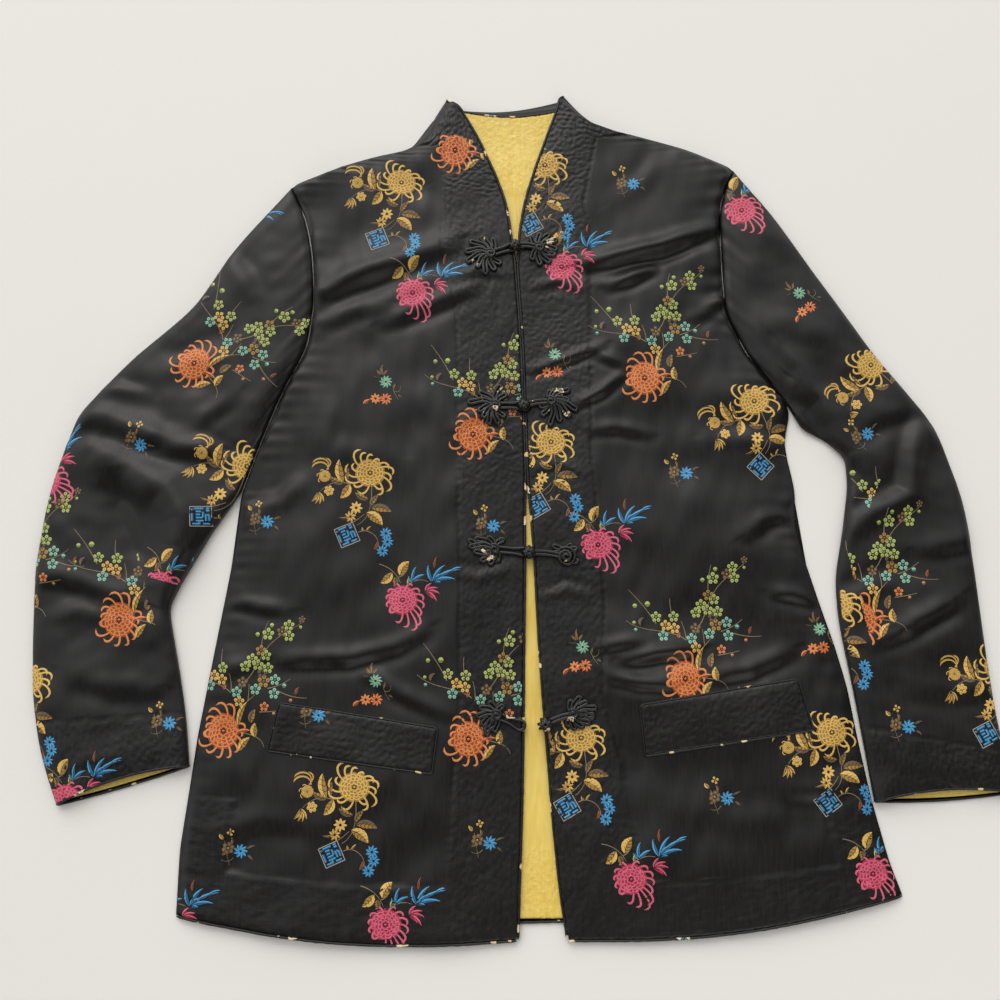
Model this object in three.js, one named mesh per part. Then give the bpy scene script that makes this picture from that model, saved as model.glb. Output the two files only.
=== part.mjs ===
// A lined silk tang jacket laid flat on its back: two fronts over one back, both with their
// share of a grown-on funnel collar, two set-in sleeves, piping, two welt pockets, four frogs.
// Millimetres. +X is the wearer's left, +Y is towards the collar, +Z is up from the table.
// "right" and "left" in the names are the wearer's.

import * as THREE from 'three';
import { mergeVertices } from 'three/addons/utils/BufferGeometryUtils.js';

// ---- driving dimensions ----

const SEAM_GAP = 0.3; // between pieces that touch
const BACK_CLOTH = 1.2; // the back's wall
const LINING_CLOTH = 1.1; // the lining's wall
const CLOTH = 1.6; // a lined front's or sleeve's wall
const FRONT_UNDERSIDE = 3.4; // height of a front's underside over the table
const FRONT_SWELL = 1.4; // how far a front rises between its side and its edge
const SLEEVE_EDGE = 4.6; // thickness of a flattened sleeve at its folded edges
const SLEEVE_SWELL = 1.6; // and how much more in the middle
const ROW_STEP = 32; // longest step between two rings of cloth
const FRONT_COLUMNS = 10; // strips across a front
const SLEEVE_COLUMNS = 8; // strips across each layer of a sleeve

const PIPING_RADIUS = 1.2;
const WELT_PIPING_RADIUS = 0.9;
const PIPING_SIDES = 6;
const CUFF_DROP = 9; // how far a cuff's under layer shows past its upper layer
const CUFF_DROP_START = 0.9; // share of the way from armhole to cuff at which it begins
const CUFF_PIPING_SINK = 0.4; // the upper cuff piping below the cloth's face
const CUFF_LINING_CLOTH = 1;
const CUFF_LINING_DEPTH = 34;
const CUFF_LINING_BACK = 2; // the lining's edge behind the mouth's
const ARMHOLE_CLEARANCE = 2.4; // across the armhole seam, whose curve the sleeve follows in chords

const CORD_RADIUS = 1.8; // the frogs' cord
const KNOT_RADIUS = 5.6;
const KNOT_FLATTEN = 0.86;
const FLOWER_THICK = 3.2;
const FLOWER_LOOPS = 8;
const FLOWER_SCALLOP = 0.2; // share of a flower's radius taken by its scallops
const LOOP_LEGS = 2.4; // half the distance between the two cords of a loop
const LOOP_STEPS = 5;
const LOOP_MOUTH = 130; // degrees each way from the loop's tip to where its legs start

// ---- colours ----

const SATIN = { color: 0x242426, roughness: 0.5, metalness: 0 };
const LINING = { color: 0xe8c85a, roughness: 0.45, metalness: 0 };
const PIPING = { color: 0x17171a, roughness: 0.4, metalness: 0 };
const CORD = { color: 0x131318, roughness: 0.38, metalness: 0 };

// ---- tables ----

function table(columns, rows) {
  return rows.map((row) => Object.fromEntries(columns.map((name, i) => [name, row[i]])));
}

// A front from hem to collar. The side column runs up the side seam, round the armhole, along
// the shoulder and up the neck; the edge column is the finished front opening, piping
// included. bow is how far the row sags between the two.
const FRONT_COLUMN_NAMES = ['sideX', 'sideY', 'edgeX', 'edgeY', 'bow'];
const RIGHT_FRONT_ROWS = table(FRONT_COLUMN_NAMES, [
  [-298, -369, 1, -389, 12], // hem
  [-297, -314, 3, -330, 8],
  [-291, -266, 5, -275, 4],
  [-285, -216, 6, -220, 0],
  [-272, -137, 7, -137, 0],
  [-261, -71, 8, -75, 0],
  [-256, -34, 8, -30, 0],
  [-254, -1, 7, 15, 0], // foot of the armhole
  [-236, 51, 6, 52, 0],
  [-218, 97, 5, 90, 0],
  [-196, 140, 3, 132, 0],
  [-190, 186, 0, 175, 0],
  [-194, 236, -3, 225, 0],
  [-201, 268, -5, 255, 0],
  [-211, 290, -8, 277, 0],
  [-218, 298, -12, 290, 0], // shoulder point
  [-168, 319, -19, 309, 0],
  [-135, 329, -25, 322, 0],
  [-102, 336, -33, 341, 0], // foot of the collar
  [-88, 349, -40, 354, 0],
  [-78, 370, -47, 366, 0],
  [-68, 386, -54, 376, 0], // tip of the collar
]);
const LEFT_FRONT_ROWS = table(FRONT_COLUMN_NAMES, [
  [335, -352, 41, -389, 12], // hem
  [325, -324, 35, -349, 8],
  [312, -271, 29, -289, 4],
  [302, -218, 25, -235, 0],
  [295, -174, 21, -185, 0],
  [285, -136, 18, -140, 0],
  [275, -105, 16, -100, 0],
  [260, -55, 14, -55, 0],
  [254, -29, 12, -20, 0],
  [255, 5, 10, 15, 0],
  [246, 47, 9, 50, 0],
  [254, 81, 7, 88, 0], // foot of the armhole
  [240, 97, 7, 108, 0],
  [215, 132, 6, 140, 0],
  [195, 175, 4, 172, 0],
  [193, 225, 1, 215, 0],
  [192, 273, 1, 250, 0],
  [201, 305, 5, 276, 0],
  [211, 315, 9, 292, 0], // shoulder point
  [163, 336, 17, 317, 0],
  [125, 347, 25, 340, 0], // foot of the collar
  [100, 354, 30, 354, 0],
  [83, 358, 34, 365, 0],
  [68, 366, 37, 374, 0],
  [56, 378, 39, 381, 0],
  [46, 390, 40, 386, 0], // tip of the collar
]);

// The back's free edges, from right to left: the hem and the top of the back collar.
const BACK_HEM = [[-284, -372], [-150, -376], [20, -374], [180, -370], [320, -356]];
const BACK_COLLAR_TOP = [[-54, 377], [-23, 374], [9, 376], [26, 379], [40, 390]];

// The part of the back lining that shows in the neck and down the front gap.
const LINING_ROWS = table(['y', 'left', 'right'], [
  [-369, -22, 66],
  [-120, -20, 48],
  [180, -30, 34],
  [300, -46, 50],
  [340, -62, 58],
  [368, -64, 50],
]);

// A sleeve from armhole to cuff: the fold on top of the arm and the fold under it. seam is
// how much of the armhole's curve the row still follows.
const SLEEVE_COLUMN_NAMES = ['outerX', 'outerY', 'innerX', 'innerY', 'seam'];
const RIGHT_SLEEVE_ROWS = table(SLEEVE_COLUMN_NAMES, [
  [-219, 299, -255, -2, 1],
  [-269, 237, -260, -9, 0.4],
  [-302, 179, -268, -20, 0.1],
  [-360, 128, -278, -34, 0],
  [-407, 76, -288, -52, 0],
  [-430, 0, -305, -82, 0],
  [-438, -65, -315, -104, 0],
  [-437, -125, -309, -132, 0],
  [-434, -180, -302, -165, 0],
  [-425, -230, -295, -204, 0],
  [-407, -276, -291, -242, 0],
]);
const LEFT_SLEEVE_ROWS = table(SLEEVE_COLUMN_NAMES, [
  [212, 316, 256, 80, 1],
  [245, 270, 264, 61, 0.4],
  [290, 198, 285, 50, 0.1],
  [334, 131, 302, 34, 0],
  [387, 64, 303, 8, 0],
  [409, -7, 297, -31, 0],
  [417, -92, 288, -76, 0],
  [421, -150, 289, -114, 0],
  [427, -205, 300, -178, 0],
  [438, -265, 314, -273, 0],
]);

// The largest folds, each a ridge from one point to another.
const FOLD_COLUMN_NAMES = ['x0', 'y0', 'x1', 'y1', 'halfWidth', 'height'];
const RIGHT_FRONT_FOLDS = table(FOLD_COLUMN_NAMES, [
  [-182, 196, -104, 228, 16, 5],
  [-250, -104, -218, -66, 13, 3],
  [-205, -144, -100, -128, 12, 3.5],
]);
const LEFT_FRONT_FOLDS = table(FOLD_COLUMN_NAMES, [
  [84, 222, 180, 250, 15, 4.5],
  [94, -136, 160, -130, 14, 4.5],
  [180, -138, 240, -122, 13, 3.5],
  [206, -22, 240, -4, 12, 3],
]);
const RIGHT_SLEEVE_FOLDS = table(FOLD_COLUMN_NAMES, [
  [-402, 62, -300, 52, 16, 6],
  [-392, 24, -318, -30, 17, 7],
  [-426, -84, -368, -98, 13, 4],
  [-396, -160, -328, -162, 14, 4],
]);
const LEFT_SLEEVE_FOLDS = table(FOLD_COLUMN_NAMES, [
  [264, 104, 300, 52, 15, 7],
  [368, 60, 356, 4, 15, 6],
  [352, -12, 304, -34, 14, 6],
  [352, -122, 394, -100, 13, 5],
  [318, -140, 376, -110, 13, 4],
]);

// A welt's corners: a and b are the ends of its pocket mouth, c and d those of its lower seam.
const RIGHT_WELT = { a: [-212, -187], b: [-71, -209], c: [-76, -249], d: [-222, -229] };
const LEFT_WELT = { a: [108, -189], b: [250, -166], c: [262, -211], d: [113, -234] };

// Frogs from the neck down: the middles of the two flowers with their radii, the knot, and
// the turn of the loop. The last one is open, with a small loop beside its knot.
const FROG_COLUMN_NAMES = [
  'rightX', 'rightY', 'rightR', 'knotX', 'knotY', 'leftX', 'leftY', 'leftR', 'loopX', 'loopY', 'loopR',
];
const FROGS = table(FROG_COLUMN_NAMES, [
  [-31, 239, 16, -2, 242, 26, 242, 15, -2, 242, 8],
  [-28, 89, 16, 6, 88, 37, 90, 17, 6, 88, 8],
  [-28, -47, 17, 12, -51, 44, -51, 13, 12, -51, 8],
  [-24, -201, 15, 22, -204, 54, -200, 16, 0, -205, 4.5],
]);

// ---- cloth ----

function mix(from, to, share) {
  return from + (to - from) * share;
}

// How high the folds lift the cloth at a place: round ridges that die away all round.
function lift(folds, x, y) {
  let height = 0;
  for (const fold of folds) {
    const dx = fold.x1 - fold.x0;
    const dy = fold.y1 - fold.y0;
    const along = ((x - fold.x0) * dx + (y - fold.y0) * dy) / (dx * dx + dy * dy);
    const share = THREE.MathUtils.clamp(along, 0, 1);
    const away = Math.hypot(x - fold.x0 - dx * share, y - fold.y0 - dy * share);
    const reach = away / fold.halfWidth;
    height += fold.height * Math.exp(-2 * reach * reach);
  }
  return height;
}

// A smooth curve through four even values, from the second to the third.
function curve(before, from, to, after, t) {
  const slope = (to - before) / 2;
  const nextSlope = (after - from) / 2;
  const turn = 2 * from - 2 * to + slope + nextSlope;
  const bend = -3 * from + 3 * to - 2 * slope - nextSlope;
  return ((turn * t + bend) * t + slope) * t + from;
}

// Adds rows so that no two are more than ROW_STEP apart: on straight lines, or on curves.
function refine(rows, curved) {
  const names = Object.keys(rows[0]);
  const [x0, y0, x1, y1] = names;
  const fine = [rows[0]];
  for (let i = 1; i < rows.length; i += 1) {
    const [from, to] = [rows[i - 1], rows[i]];
    const [before, after] = [rows[i - 2] ?? from, rows[i + 1] ?? to];
    const first = Math.hypot(to[x0] - from[x0], to[y0] - from[y0]);
    const second = Math.hypot(to[x1] - from[x1], to[y1] - from[y1]);
    const steps = Math.ceil(Math.max(first, second) / ROW_STEP);
    for (let step = 1; step <= steps; step += 1) {
      const share = step / steps;
      const value = (name) => (curved
        ? curve(before[name], from[name], to[name], after[name], share)
        : mix(from[name], to[name], share));
      fine.push(Object.fromEntries(names.map((name) => [name, value(name)])));
    }
  }
  return fine;
}

// One closed body through rings of points. A ring that starts or ends the body is closed by
// strips between its first half and its second half, or the last ring joins the first.
function skin(rings, joined = false) {
  const count = rings[0].length;
  const positions = rings.flat().flatMap((point) => [point.x, point.y, point.z]);
  const index = [];
  const spans = joined ? rings.length : rings.length - 1;
  for (let r = 0; r < spans; r += 1) {
    const here = r * count;
    const next = ((r + 1) % rings.length) * count;
    for (let i = 0; i < count; i += 1) {
      const j = (i + 1) % count;
      index.push(here + i, here + j, next + j, here + i, next + j, next + i);
    }
  }
  if (!joined) {
    for (const [start, flip] of [[0, true], [(rings.length - 1) * count, false]]) {
      for (let i = 0; i < count / 2 - 1; i += 1) {
        const [a, b] = [start + i, start + i + 1];
        const [c, d] = [start + count - 2 - i, start + count - 1 - i];
        index.push(...(flip ? [a, d, b, b, d, c] : [a, b, d, b, c, d]));
      }
    }
  }
  return outward(positions, index);
}

// A geometry whose faces point out, whichever way round its rings run.
function outward(positions, index) {
  const at = (i) => new THREE.Vector3().fromArray(positions, i * 3);
  let volume = 0;
  for (let i = 0; i < index.length; i += 3) {
    volume += at(index[i]).dot(at(index[i + 1]).cross(at(index[i + 2])));
  }
  const geometry = new THREE.BufferGeometry();
  geometry.setAttribute('position', new THREE.Float32BufferAttribute(positions, 3));
  geometry.setIndex(volume < 0 ? index.reverse() : index);
  return geometry;
}

// A front: its rows, ruled from side to edge, with the edge held back to leave the piping room.
function makeFront(rows, folds) {
  const fine = refine(rows, false);
  const foot = fine[0];
  const width = Math.hypot(foot.edgeX - foot.sideX, foot.edgeY - foot.sideY);
  const inset = 2 * PIPING_RADIUS + SEAM_GAP;
  function top(x, y, u) {
    return FRONT_UNDERSIDE + CLOTH + FRONT_SWELL * Math.sin(Math.PI * u) + lift(folds, x, y);
  }
  const rings = fine.map((row) => {
    const length = Math.hypot(row.edgeX - row.sideX, row.edgeY - row.sideY);
    const last = 1 - Math.min(inset / length, 0.4);
    const upper = [];
    for (let i = 0; i <= FRONT_COLUMNS; i += 1) {
      const u = (i / FRONT_COLUMNS) * last;
      const x = mix(row.sideX, row.edgeX, u);
      const sag = row.bow * Math.sin(Math.PI * u);
      const y = mix(row.sideY, row.edgeY, u) - sag;
      upper.push(new THREE.Vector3(x, y, top(x, y, (u * length) / width)));
    }
    const lower = upper.map((point) => point.clone().setZ(point.z - CLOTH)).reverse();
    return [...upper, ...lower];
  });
  const upperRings = rings.map((ring) => ring.slice(0, FRONT_COLUMNS + 1));
  return { geometry: skin(rings), upperRings };
}

// The highest point of a front inside a circle, for what is sewn on it.
function highest(front, x, y, radius) {
  const near = front.upperRings.flat().filter((p) => Math.hypot(p.x - x, p.y - y) < radius + ROW_STEP);
  return Math.max(...near.map((point) => point.z));
}

// The height of a front's faces over a place, found in the strip of cloth that holds it.
function heightOn(front, x, y) {
  const place = new THREE.Vector3(x, y, 0);
  const flat = (point) => new THREE.Vector3(point.x, point.y, 0);
  const share = new THREE.Vector3();
  for (let r = 1; r < front.upperRings.length; r += 1) {
    const [low, high] = [front.upperRings[r - 1], front.upperRings[r]];
    for (let i = 1; i < low.length; i += 1) {
      for (const face of [[low[i - 1], low[i], high[i]], [low[i - 1], high[i], high[i - 1]]]) {
        THREE.Triangle.getBarycoord(place, ...face.map(flat), share);
        if (share.x >= 0 && share.y >= 0 && share.z >= 0) {
          return face[0].z * share.x + face[1].z * share.y + face[2].z * share.z;
        }
      }
    }
  }
  return FRONT_UNDERSIDE + CLOTH;
}

// A point on the armhole seam, by its share of the way from shoulder to foot.
function onArmhole(seam, share) {
  const place = share * (seam.length - 1);
  const i = Math.min(Math.floor(place), seam.length - 2);
  return [mix(seam[i][0], seam[i + 1][0], place - i), mix(seam[i][1], seam[i + 1][1], place - i)];
}

// A sleeve: a flattened tube, open at the armhole and the cuff. Its first ring keeps just
// clear of the armhole seam, and its under layer runs on past the cuff.
function makeSleeve(rows, seam, side, folds) {
  const fine = refine(rows, true);
  const head = fine[0];
  function place(row, u) {
    const [seamX, seamY] = onArmhole(seam, u);
    const x = mix(row.outerX, row.innerX, u);
    const y = mix(row.outerY, row.innerY, u);
    const offX = seamX - mix(head.outerX, head.innerX, u) + side;
    const offY = seamY - mix(head.outerY, head.innerY, u);
    return [x + offX * row.seam, y + offY * row.seam];
  }
  function ring(row, share, inset) {
    const points = [];
    const wall = inset > 0 ? CLOTH : 0;
    const length = Math.hypot(row.innerX - row.outerX, row.innerY - row.outerY);
    const edge = inset / length;
    const drop = CUFF_DROP * Math.max(0, (share - CUFF_DROP_START) / (1 - CUFF_DROP_START));
    for (let i = 0; i <= SLEEVE_COLUMNS; i += 1) {
      const u = mix(edge, 1 - edge, i / SLEEVE_COLUMNS);
      const [x, y] = place(row, u);
      const swell = SLEEVE_SWELL * Math.sqrt(Math.sin(Math.PI * u));
      points.push(new THREE.Vector3(x, y, SLEEVE_EDGE + swell + lift(folds, x, y) - wall));
    }
    for (let i = SLEEVE_COLUMNS; i >= 0; i -= 1) {
      const u = mix(edge, 1 - edge, i / SLEEVE_COLUMNS);
      const [x, y] = place(row, u);
      points.push(new THREE.Vector3(x, y - drop * Math.sin(Math.PI * u), wall));
    }
    return points;
  }
  const shares = fine.map((row, i) => i / (fine.length - 1));
  const outer = fine.map((row, i) => ring(row, shares[i], 0));
  const inner = fine.map((row, i) => ring(row, shares[i], CLOTH));
  return { geometry: skin([...outer, ...inner.reverse()], true), outer };
}

// A flat piece of cloth with straight sides between the points of its outline.
function slab(outline, thick, z) {
  const shape = new THREE.Shape(outline.map(([x, y]) => new THREE.Vector2(x, y)));
  const geometry = new THREE.ExtrudeGeometry(shape, { depth: thick, bevelEnabled: false });
  return geometry.translate(0, 0, z);
}

// A round or oval cord along a line of points, with flat ends.
function cord(points, radius, sides = PIPING_SIDES, wide = 1) {
  const up = new THREE.Vector3(0, 0, 1);
  const rings = points.map((point, i) => {
    const before = points[Math.max(i - 1, 0)];
    const after = points[Math.min(i + 1, points.length - 1)];
    const across = after.clone().sub(before).setZ(0).normalize().cross(up);
    const ring = [];
    for (let s = 0; s < sides; s += 1) {
      const turn = ((s + 0.5) / sides) * 2 * Math.PI;
      const offset = across.clone().multiplyScalar(radius * wide * Math.cos(turn));
      ring.push(point.clone().add(offset).addScaledVector(up, radius * Math.sin(turn)));
    }
    return ring;
  });
  return skin(rings);
}

// Moves a line of points sideways in plan, to the left of the way it runs.
function beside(points, distance) {
  return points.map((point, i) => {
    const before = points[Math.max(i - 1, 0)];
    const after = points[Math.min(i + 1, points.length - 1)];
    const way = after.clone().sub(before).setZ(0).normalize();
    return point.clone().add(new THREE.Vector3(-way.y, way.x, 0).multiplyScalar(distance));
  });
}

function firstRing(front) {
  return front.upperRings[0].map((point) => point.clone().setZ(point.z - CLOTH / 2));
}

function edgeColumn(front) {
  return front.upperRings.map((ring) => ring[ring.length - 1].clone().setZ(ring[0].z - CLOTH / 2));
}

// ---- what lies on the fronts ----

const WELT_ROWS = 3;
const WELT_COLUMNS = 9;
const WELT_CLEARANCE = 0.5;
const WELT_CLOTH = 1.5;

function weltPoint(front, welt, u, v, rise) {
  const x = mix(mix(welt.a[0], welt.b[0], u), mix(welt.d[0], welt.c[0], u), v);
  const y = mix(mix(welt.a[1], welt.b[1], u), mix(welt.d[1], welt.c[1], u), v);
  return new THREE.Vector3(x, y, heightOn(front, x, y) + rise);
}

function makeWelt(front, welt) {
  const rings = [];
  for (let r = 0; r <= WELT_ROWS; r += 1) {
    const upper = [];
    for (let c = 0; c <= WELT_COLUMNS; c += 1) {
      upper.push(weltPoint(front, welt, c / WELT_COLUMNS, r / WELT_ROWS, WELT_CLEARANCE + WELT_CLOTH));
    }
    const lower = upper.map((point) => point.clone().setZ(point.z - WELT_CLOTH)).reverse();
    rings.push([...upper, ...lower]);
  }
  return skin(rings);
}

// The piping runs up one end of a welt, along its mouth and down the other end.
function weltPiping(front, welt, outside) {
  const rise = WELT_CLEARANCE + WELT_PIPING_RADIUS;
  const line = [];
  for (let r = WELT_ROWS; r >= 1; r -= 1) {
    line.push(weltPoint(front, welt, 0, r / WELT_ROWS, rise));
  }
  for (let c = 0; c <= WELT_COLUMNS; c += 1) {
    line.push(weltPoint(front, welt, c / WELT_COLUMNS, 0, rise));
  }
  for (let r = 1; r <= WELT_ROWS; r += 1) {
    line.push(weltPoint(front, welt, 1, r / WELT_ROWS, rise));
  }
  return cord(beside(line, outside), WELT_PIPING_RADIUS);
}

// A frog's flower: cord loops laid round a middle, as one plate with a scalloped outline.
function flower(front, x, y, radius) {
  const outline = [];
  const steps = FLOWER_LOOPS * 4;
  for (let i = 0; i < steps; i += 1) {
    const turn = (i / steps) * 2 * Math.PI;
    const reach = radius * (1 - FLOWER_SCALLOP * (1 - Math.cos(FLOWER_LOOPS * turn)));
    outline.push([x + reach * Math.cos(turn), y + reach * Math.sin(turn)]);
  }
  return slab(outline, FLOWER_THICK, highest(front, x, y, radius) + SEAM_GAP);
}

// The loop leaves the right flower, turns, and comes back to it.
function makeLoop(frog, level) {
  const start = frog.rightX + frog.rightR + CORD_RADIUS + SEAM_GAP;
  const line = [];
  for (const side of [1, -1]) {
    const leg = [new THREE.Vector3(start, frog.loopY + side * LOOP_LEGS, level)];
    for (let i = 0; i <= LOOP_STEPS; i += 1) {
      const turn = mix(LOOP_MOUTH, 0, i / LOOP_STEPS) * THREE.MathUtils.DEG2RAD;
      const x = frog.loopX + frog.loopR * Math.cos(turn);
      leg.push(new THREE.Vector3(x, frog.loopY + side * frog.loopR * Math.sin(turn), level));
    }
    line.push(...(side > 0 ? leg : leg.slice(0, -1).reverse()));
  }
  return cord(line, CORD_RADIUS);
}

// The knot's stem: two cords side by side, from the knot to the left flower.
function makeStem(frog, level) {
  const start = frog.knotX + KNOT_RADIUS + 3 * SEAM_GAP;
  const end = frog.leftX - frog.leftR - SEAM_GAP;
  const line = [new THREE.Vector3(start, frog.knotY, level), new THREE.Vector3(end, frog.leftY, level)];
  return cord(line, CORD_RADIUS, PIPING_SIDES, 2);
}

// ---- assembly ----

const jacket = new THREE.Group();

function add(name, geometry, look) {
  const plain = new THREE.BufferGeometry();
  plain.setAttribute('position', geometry.getAttribute('position'));
  plain.setIndex(geometry.index);
  const mesh = new THREE.Mesh(mergeVertices(plain), new THREE.MeshStandardMaterial(look));
  mesh.name = name;
  jacket.add(mesh);
}

const rightFront = makeFront(RIGHT_FRONT_ROWS, RIGHT_FRONT_FOLDS);
const leftFront = makeFront(LEFT_FRONT_ROWS, LEFT_FRONT_FOLDS);
add('right_front', rightFront.geometry, SATIN);
add('left_front', leftFront.geometry, SATIN);

// The back has the fronts' sides, its own hem and its own collar top.
const rightSide = RIGHT_FRONT_ROWS.slice(1).map((row) => [row.sideX, row.sideY]);
const leftSide = LEFT_FRONT_ROWS.slice(1).map((row) => [row.sideX, row.sideY]);
const collarTopBack = [...BACK_COLLAR_TOP].reverse();
const backOutline = [...BACK_HEM, ...leftSide, ...collarTopBack, ...rightSide.reverse()];
add('back_panel', slab(backOutline, BACK_CLOTH, 0), SATIN);

const liningLeft = LINING_ROWS.map((row) => [row.left, row.y]);
const liningRight = LINING_ROWS.map((row) => [row.right, row.y]).reverse();
add('back_lining', slab([...liningLeft, ...liningRight], LINING_CLOTH, BACK_CLOTH + SEAM_GAP), LINING);

// Pipings: beside the front edges up to the collar's tip, and below the hems.
const outsideEdge = PIPING_RADIUS + SEAM_GAP;
add('right_front_piping', cord(beside(edgeColumn(rightFront), -outsideEdge), PIPING_RADIUS), PIPING);
add('left_front_piping', cord(beside(edgeColumn(leftFront), outsideEdge), PIPING_RADIUS), PIPING);
add('right_hem_piping', cord(beside(firstRing(rightFront), -outsideEdge), PIPING_RADIUS), PIPING);
add('left_hem_piping', cord(beside(firstRing(leftFront), outsideEdge), PIPING_RADIUS), PIPING);
const backHem = BACK_HEM.map(([x, y]) => new THREE.Vector3(x, y, PIPING_RADIUS));
add('back_hem_piping', cord(beside(backHem, -outsideEdge), PIPING_RADIUS), PIPING);
const collarTop = BACK_COLLAR_TOP.map(([x, y]) => new THREE.Vector3(x, y, PIPING_RADIUS));
add('back_collar_piping', cord(beside(collarTop, outsideEdge), PIPING_RADIUS), PIPING);

const SIDES = [
  { name: 'right', front: rightFront, rows: RIGHT_SLEEVE_ROWS, fronts: RIGHT_FRONT_ROWS,
    foot: 7, shoulder: 15, side: -ARMHOLE_CLEARANCE, folds: RIGHT_SLEEVE_FOLDS, welt: RIGHT_WELT },
  { name: 'left', front: leftFront, rows: LEFT_SLEEVE_ROWS, fronts: LEFT_FRONT_ROWS,
    foot: 11, shoulder: 18, side: ARMHOLE_CLEARANCE, folds: LEFT_SLEEVE_FOLDS, welt: LEFT_WELT },
];
for (const part of SIDES) {
  const seam = part.fronts.slice(part.foot, part.shoulder + 1).map((row) => [row.sideX, row.sideY]);
  const sleeve = makeSleeve(part.rows, seam.reverse(), part.side, part.folds);
  add(`${part.name}_sleeve`, sleeve.geometry, SATIN);

  const cuff = sleeve.outer[sleeve.outer.length - 1];
  const way = part.name === 'right' ? -1 : 1;
  const upper = cuff.slice(0, SLEEVE_COLUMNS + 1).map((point) => (
    point.clone().setZ(point.z - CUFF_PIPING_SINK)));
  const under = cuff.slice(SLEEVE_COLUMNS + 1).map((point) => point.clone().setZ(PIPING_RADIUS));
  add(`${part.name}_cuff_piping`, cord(beside(upper, way * outsideEdge), PIPING_RADIUS), PIPING);
  add(`${part.name}_cuff_under_piping`, cord(beside(under, -way * outsideEdge), PIPING_RADIUS), PIPING);
  const mouth = under.slice(1, -1).map((point) => [point.x, point.y + CUFF_LINING_BACK]);
  const deep = mouth.map(([x, y]) => [x, y + CUFF_LINING_DEPTH]).reverse();
  add(`${part.name}_cuff_lining`, slab([...mouth, ...deep], CUFF_LINING_CLOTH, CLOTH + SEAM_GAP), LINING);

  add(`${part.name}_welt`, makeWelt(part.front, part.welt), SATIN);
  const outsideWelt = WELT_PIPING_RADIUS + SEAM_GAP;
  add(`${part.name}_welt_piping`, weltPiping(part.front, part.welt, outsideWelt), PIPING);
}

FROGS.forEach((frog, i) => {
  const name = `frog_${i + 1}`;
  add(`${name}_right_flower`, flower(rightFront, frog.rightX, frog.rightY, frog.rightR), CORD);
  add(`${name}_left_flower`, flower(leftFront, frog.leftX, frog.leftY, frog.leftR), CORD);
  const base = highest(leftFront, frog.leftX, frog.leftY, frog.leftR) + SEAM_GAP;
  const knot = new THREE.SphereGeometry(KNOT_RADIUS, 12, 8);
  knot.scale(1, 1, KNOT_FLATTEN);
  knot.translate(frog.knotX, frog.knotY, base + KNOT_RADIUS * KNOT_FLATTEN);
  add(`${name}_knot`, knot, CORD);
  add(`${name}_stem`, makeStem(frog, base + 3 * CORD_RADIUS + SEAM_GAP), CORD);
  add(`${name}_loop`, makeLoop(frog, base + CORD_RADIUS), CORD);
});

// The origin is the middle of the jacket's box, on the table.
const bounds = new THREE.Box3().setFromObject(jacket);
const middle = bounds.getCenter(new THREE.Vector3());
jacket.position.set(-middle.x, -middle.y, -bounds.min.z);

export default jacket;
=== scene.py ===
import math

import bpy
import numpy as np
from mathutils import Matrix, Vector
from mathutils.bvhtree import BVHTree


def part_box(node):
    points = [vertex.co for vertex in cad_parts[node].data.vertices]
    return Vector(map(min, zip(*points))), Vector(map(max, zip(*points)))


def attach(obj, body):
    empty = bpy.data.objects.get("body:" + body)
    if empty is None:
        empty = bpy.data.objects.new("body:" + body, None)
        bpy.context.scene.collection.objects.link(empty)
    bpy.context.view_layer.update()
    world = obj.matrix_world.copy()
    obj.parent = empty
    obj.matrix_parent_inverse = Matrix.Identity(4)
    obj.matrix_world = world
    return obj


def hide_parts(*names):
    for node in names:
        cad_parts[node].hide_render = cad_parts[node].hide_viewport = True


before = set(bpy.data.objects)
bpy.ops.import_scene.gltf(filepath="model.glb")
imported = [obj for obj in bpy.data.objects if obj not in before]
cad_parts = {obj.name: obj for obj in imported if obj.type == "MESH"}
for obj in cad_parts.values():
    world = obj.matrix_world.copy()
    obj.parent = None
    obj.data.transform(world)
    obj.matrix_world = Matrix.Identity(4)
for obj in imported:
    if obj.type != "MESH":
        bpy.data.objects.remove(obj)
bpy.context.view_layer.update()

# The camera. It looks down at the laid-out jacket from 8 degrees off the upright. All sizes
# below are millimetres from the middle of the laid-out jacket.
MM = 0.001
LINING_FOOT = (-64, -369)  # right and hem ends of the lining that shows
lining_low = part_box("back_lining")[0]
SHIFT = np.array([lining_low[0] / MM - LINING_FOOT[0], lining_low[1] / MM - LINING_FOOT[1], 0])


def in_room(points):
    """Millimetres in the layout to metres in the frame."""
    return (np.asarray(points, float) + SHIFT) * MM


CAMERA_AWAY = 0.9865
CAMERA_LEAN = math.radians(8)
CAMERA_AIM = in_room((-16, -4, 0))
camera = bpy.data.objects.new("camera", bpy.data.cameras.new("camera"))
camera.data.lens = 38.6
camera.data.sensor_width = 36
camera.location = (
    CAMERA_AIM[0],
    CAMERA_AIM[1] - CAMERA_AWAY * math.sin(CAMERA_LEAN),
    CAMERA_AWAY * math.cos(CAMERA_LEAN),
)
camera.rotation_euler = (CAMERA_LEAN, 0, 0)
bpy.context.scene.collection.objects.link(camera)
bpy.context.scene.camera = camera

# The table and the light. The jacket lies on its back on a pale sheet, under one big soft lamp
# towards the collar and the pale light of the room.


def new_look(name, roughness, sheen=0.0, specular=0.5):
    """An empty cloth material, with what is the same all over it set on the shader itself."""
    look = bpy.data.materials.new(name)
    look.use_nodes = True
    shader = look.node_tree.nodes["Principled BSDF"]
    for key, value in (("Roughness", roughness), ("Sheen Weight", sheen), ("Sheen Roughness", 0.4),
                       ("Specular IOR Level", specular)):
        shader.inputs[key].default_value = value
    return look, shader


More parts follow.
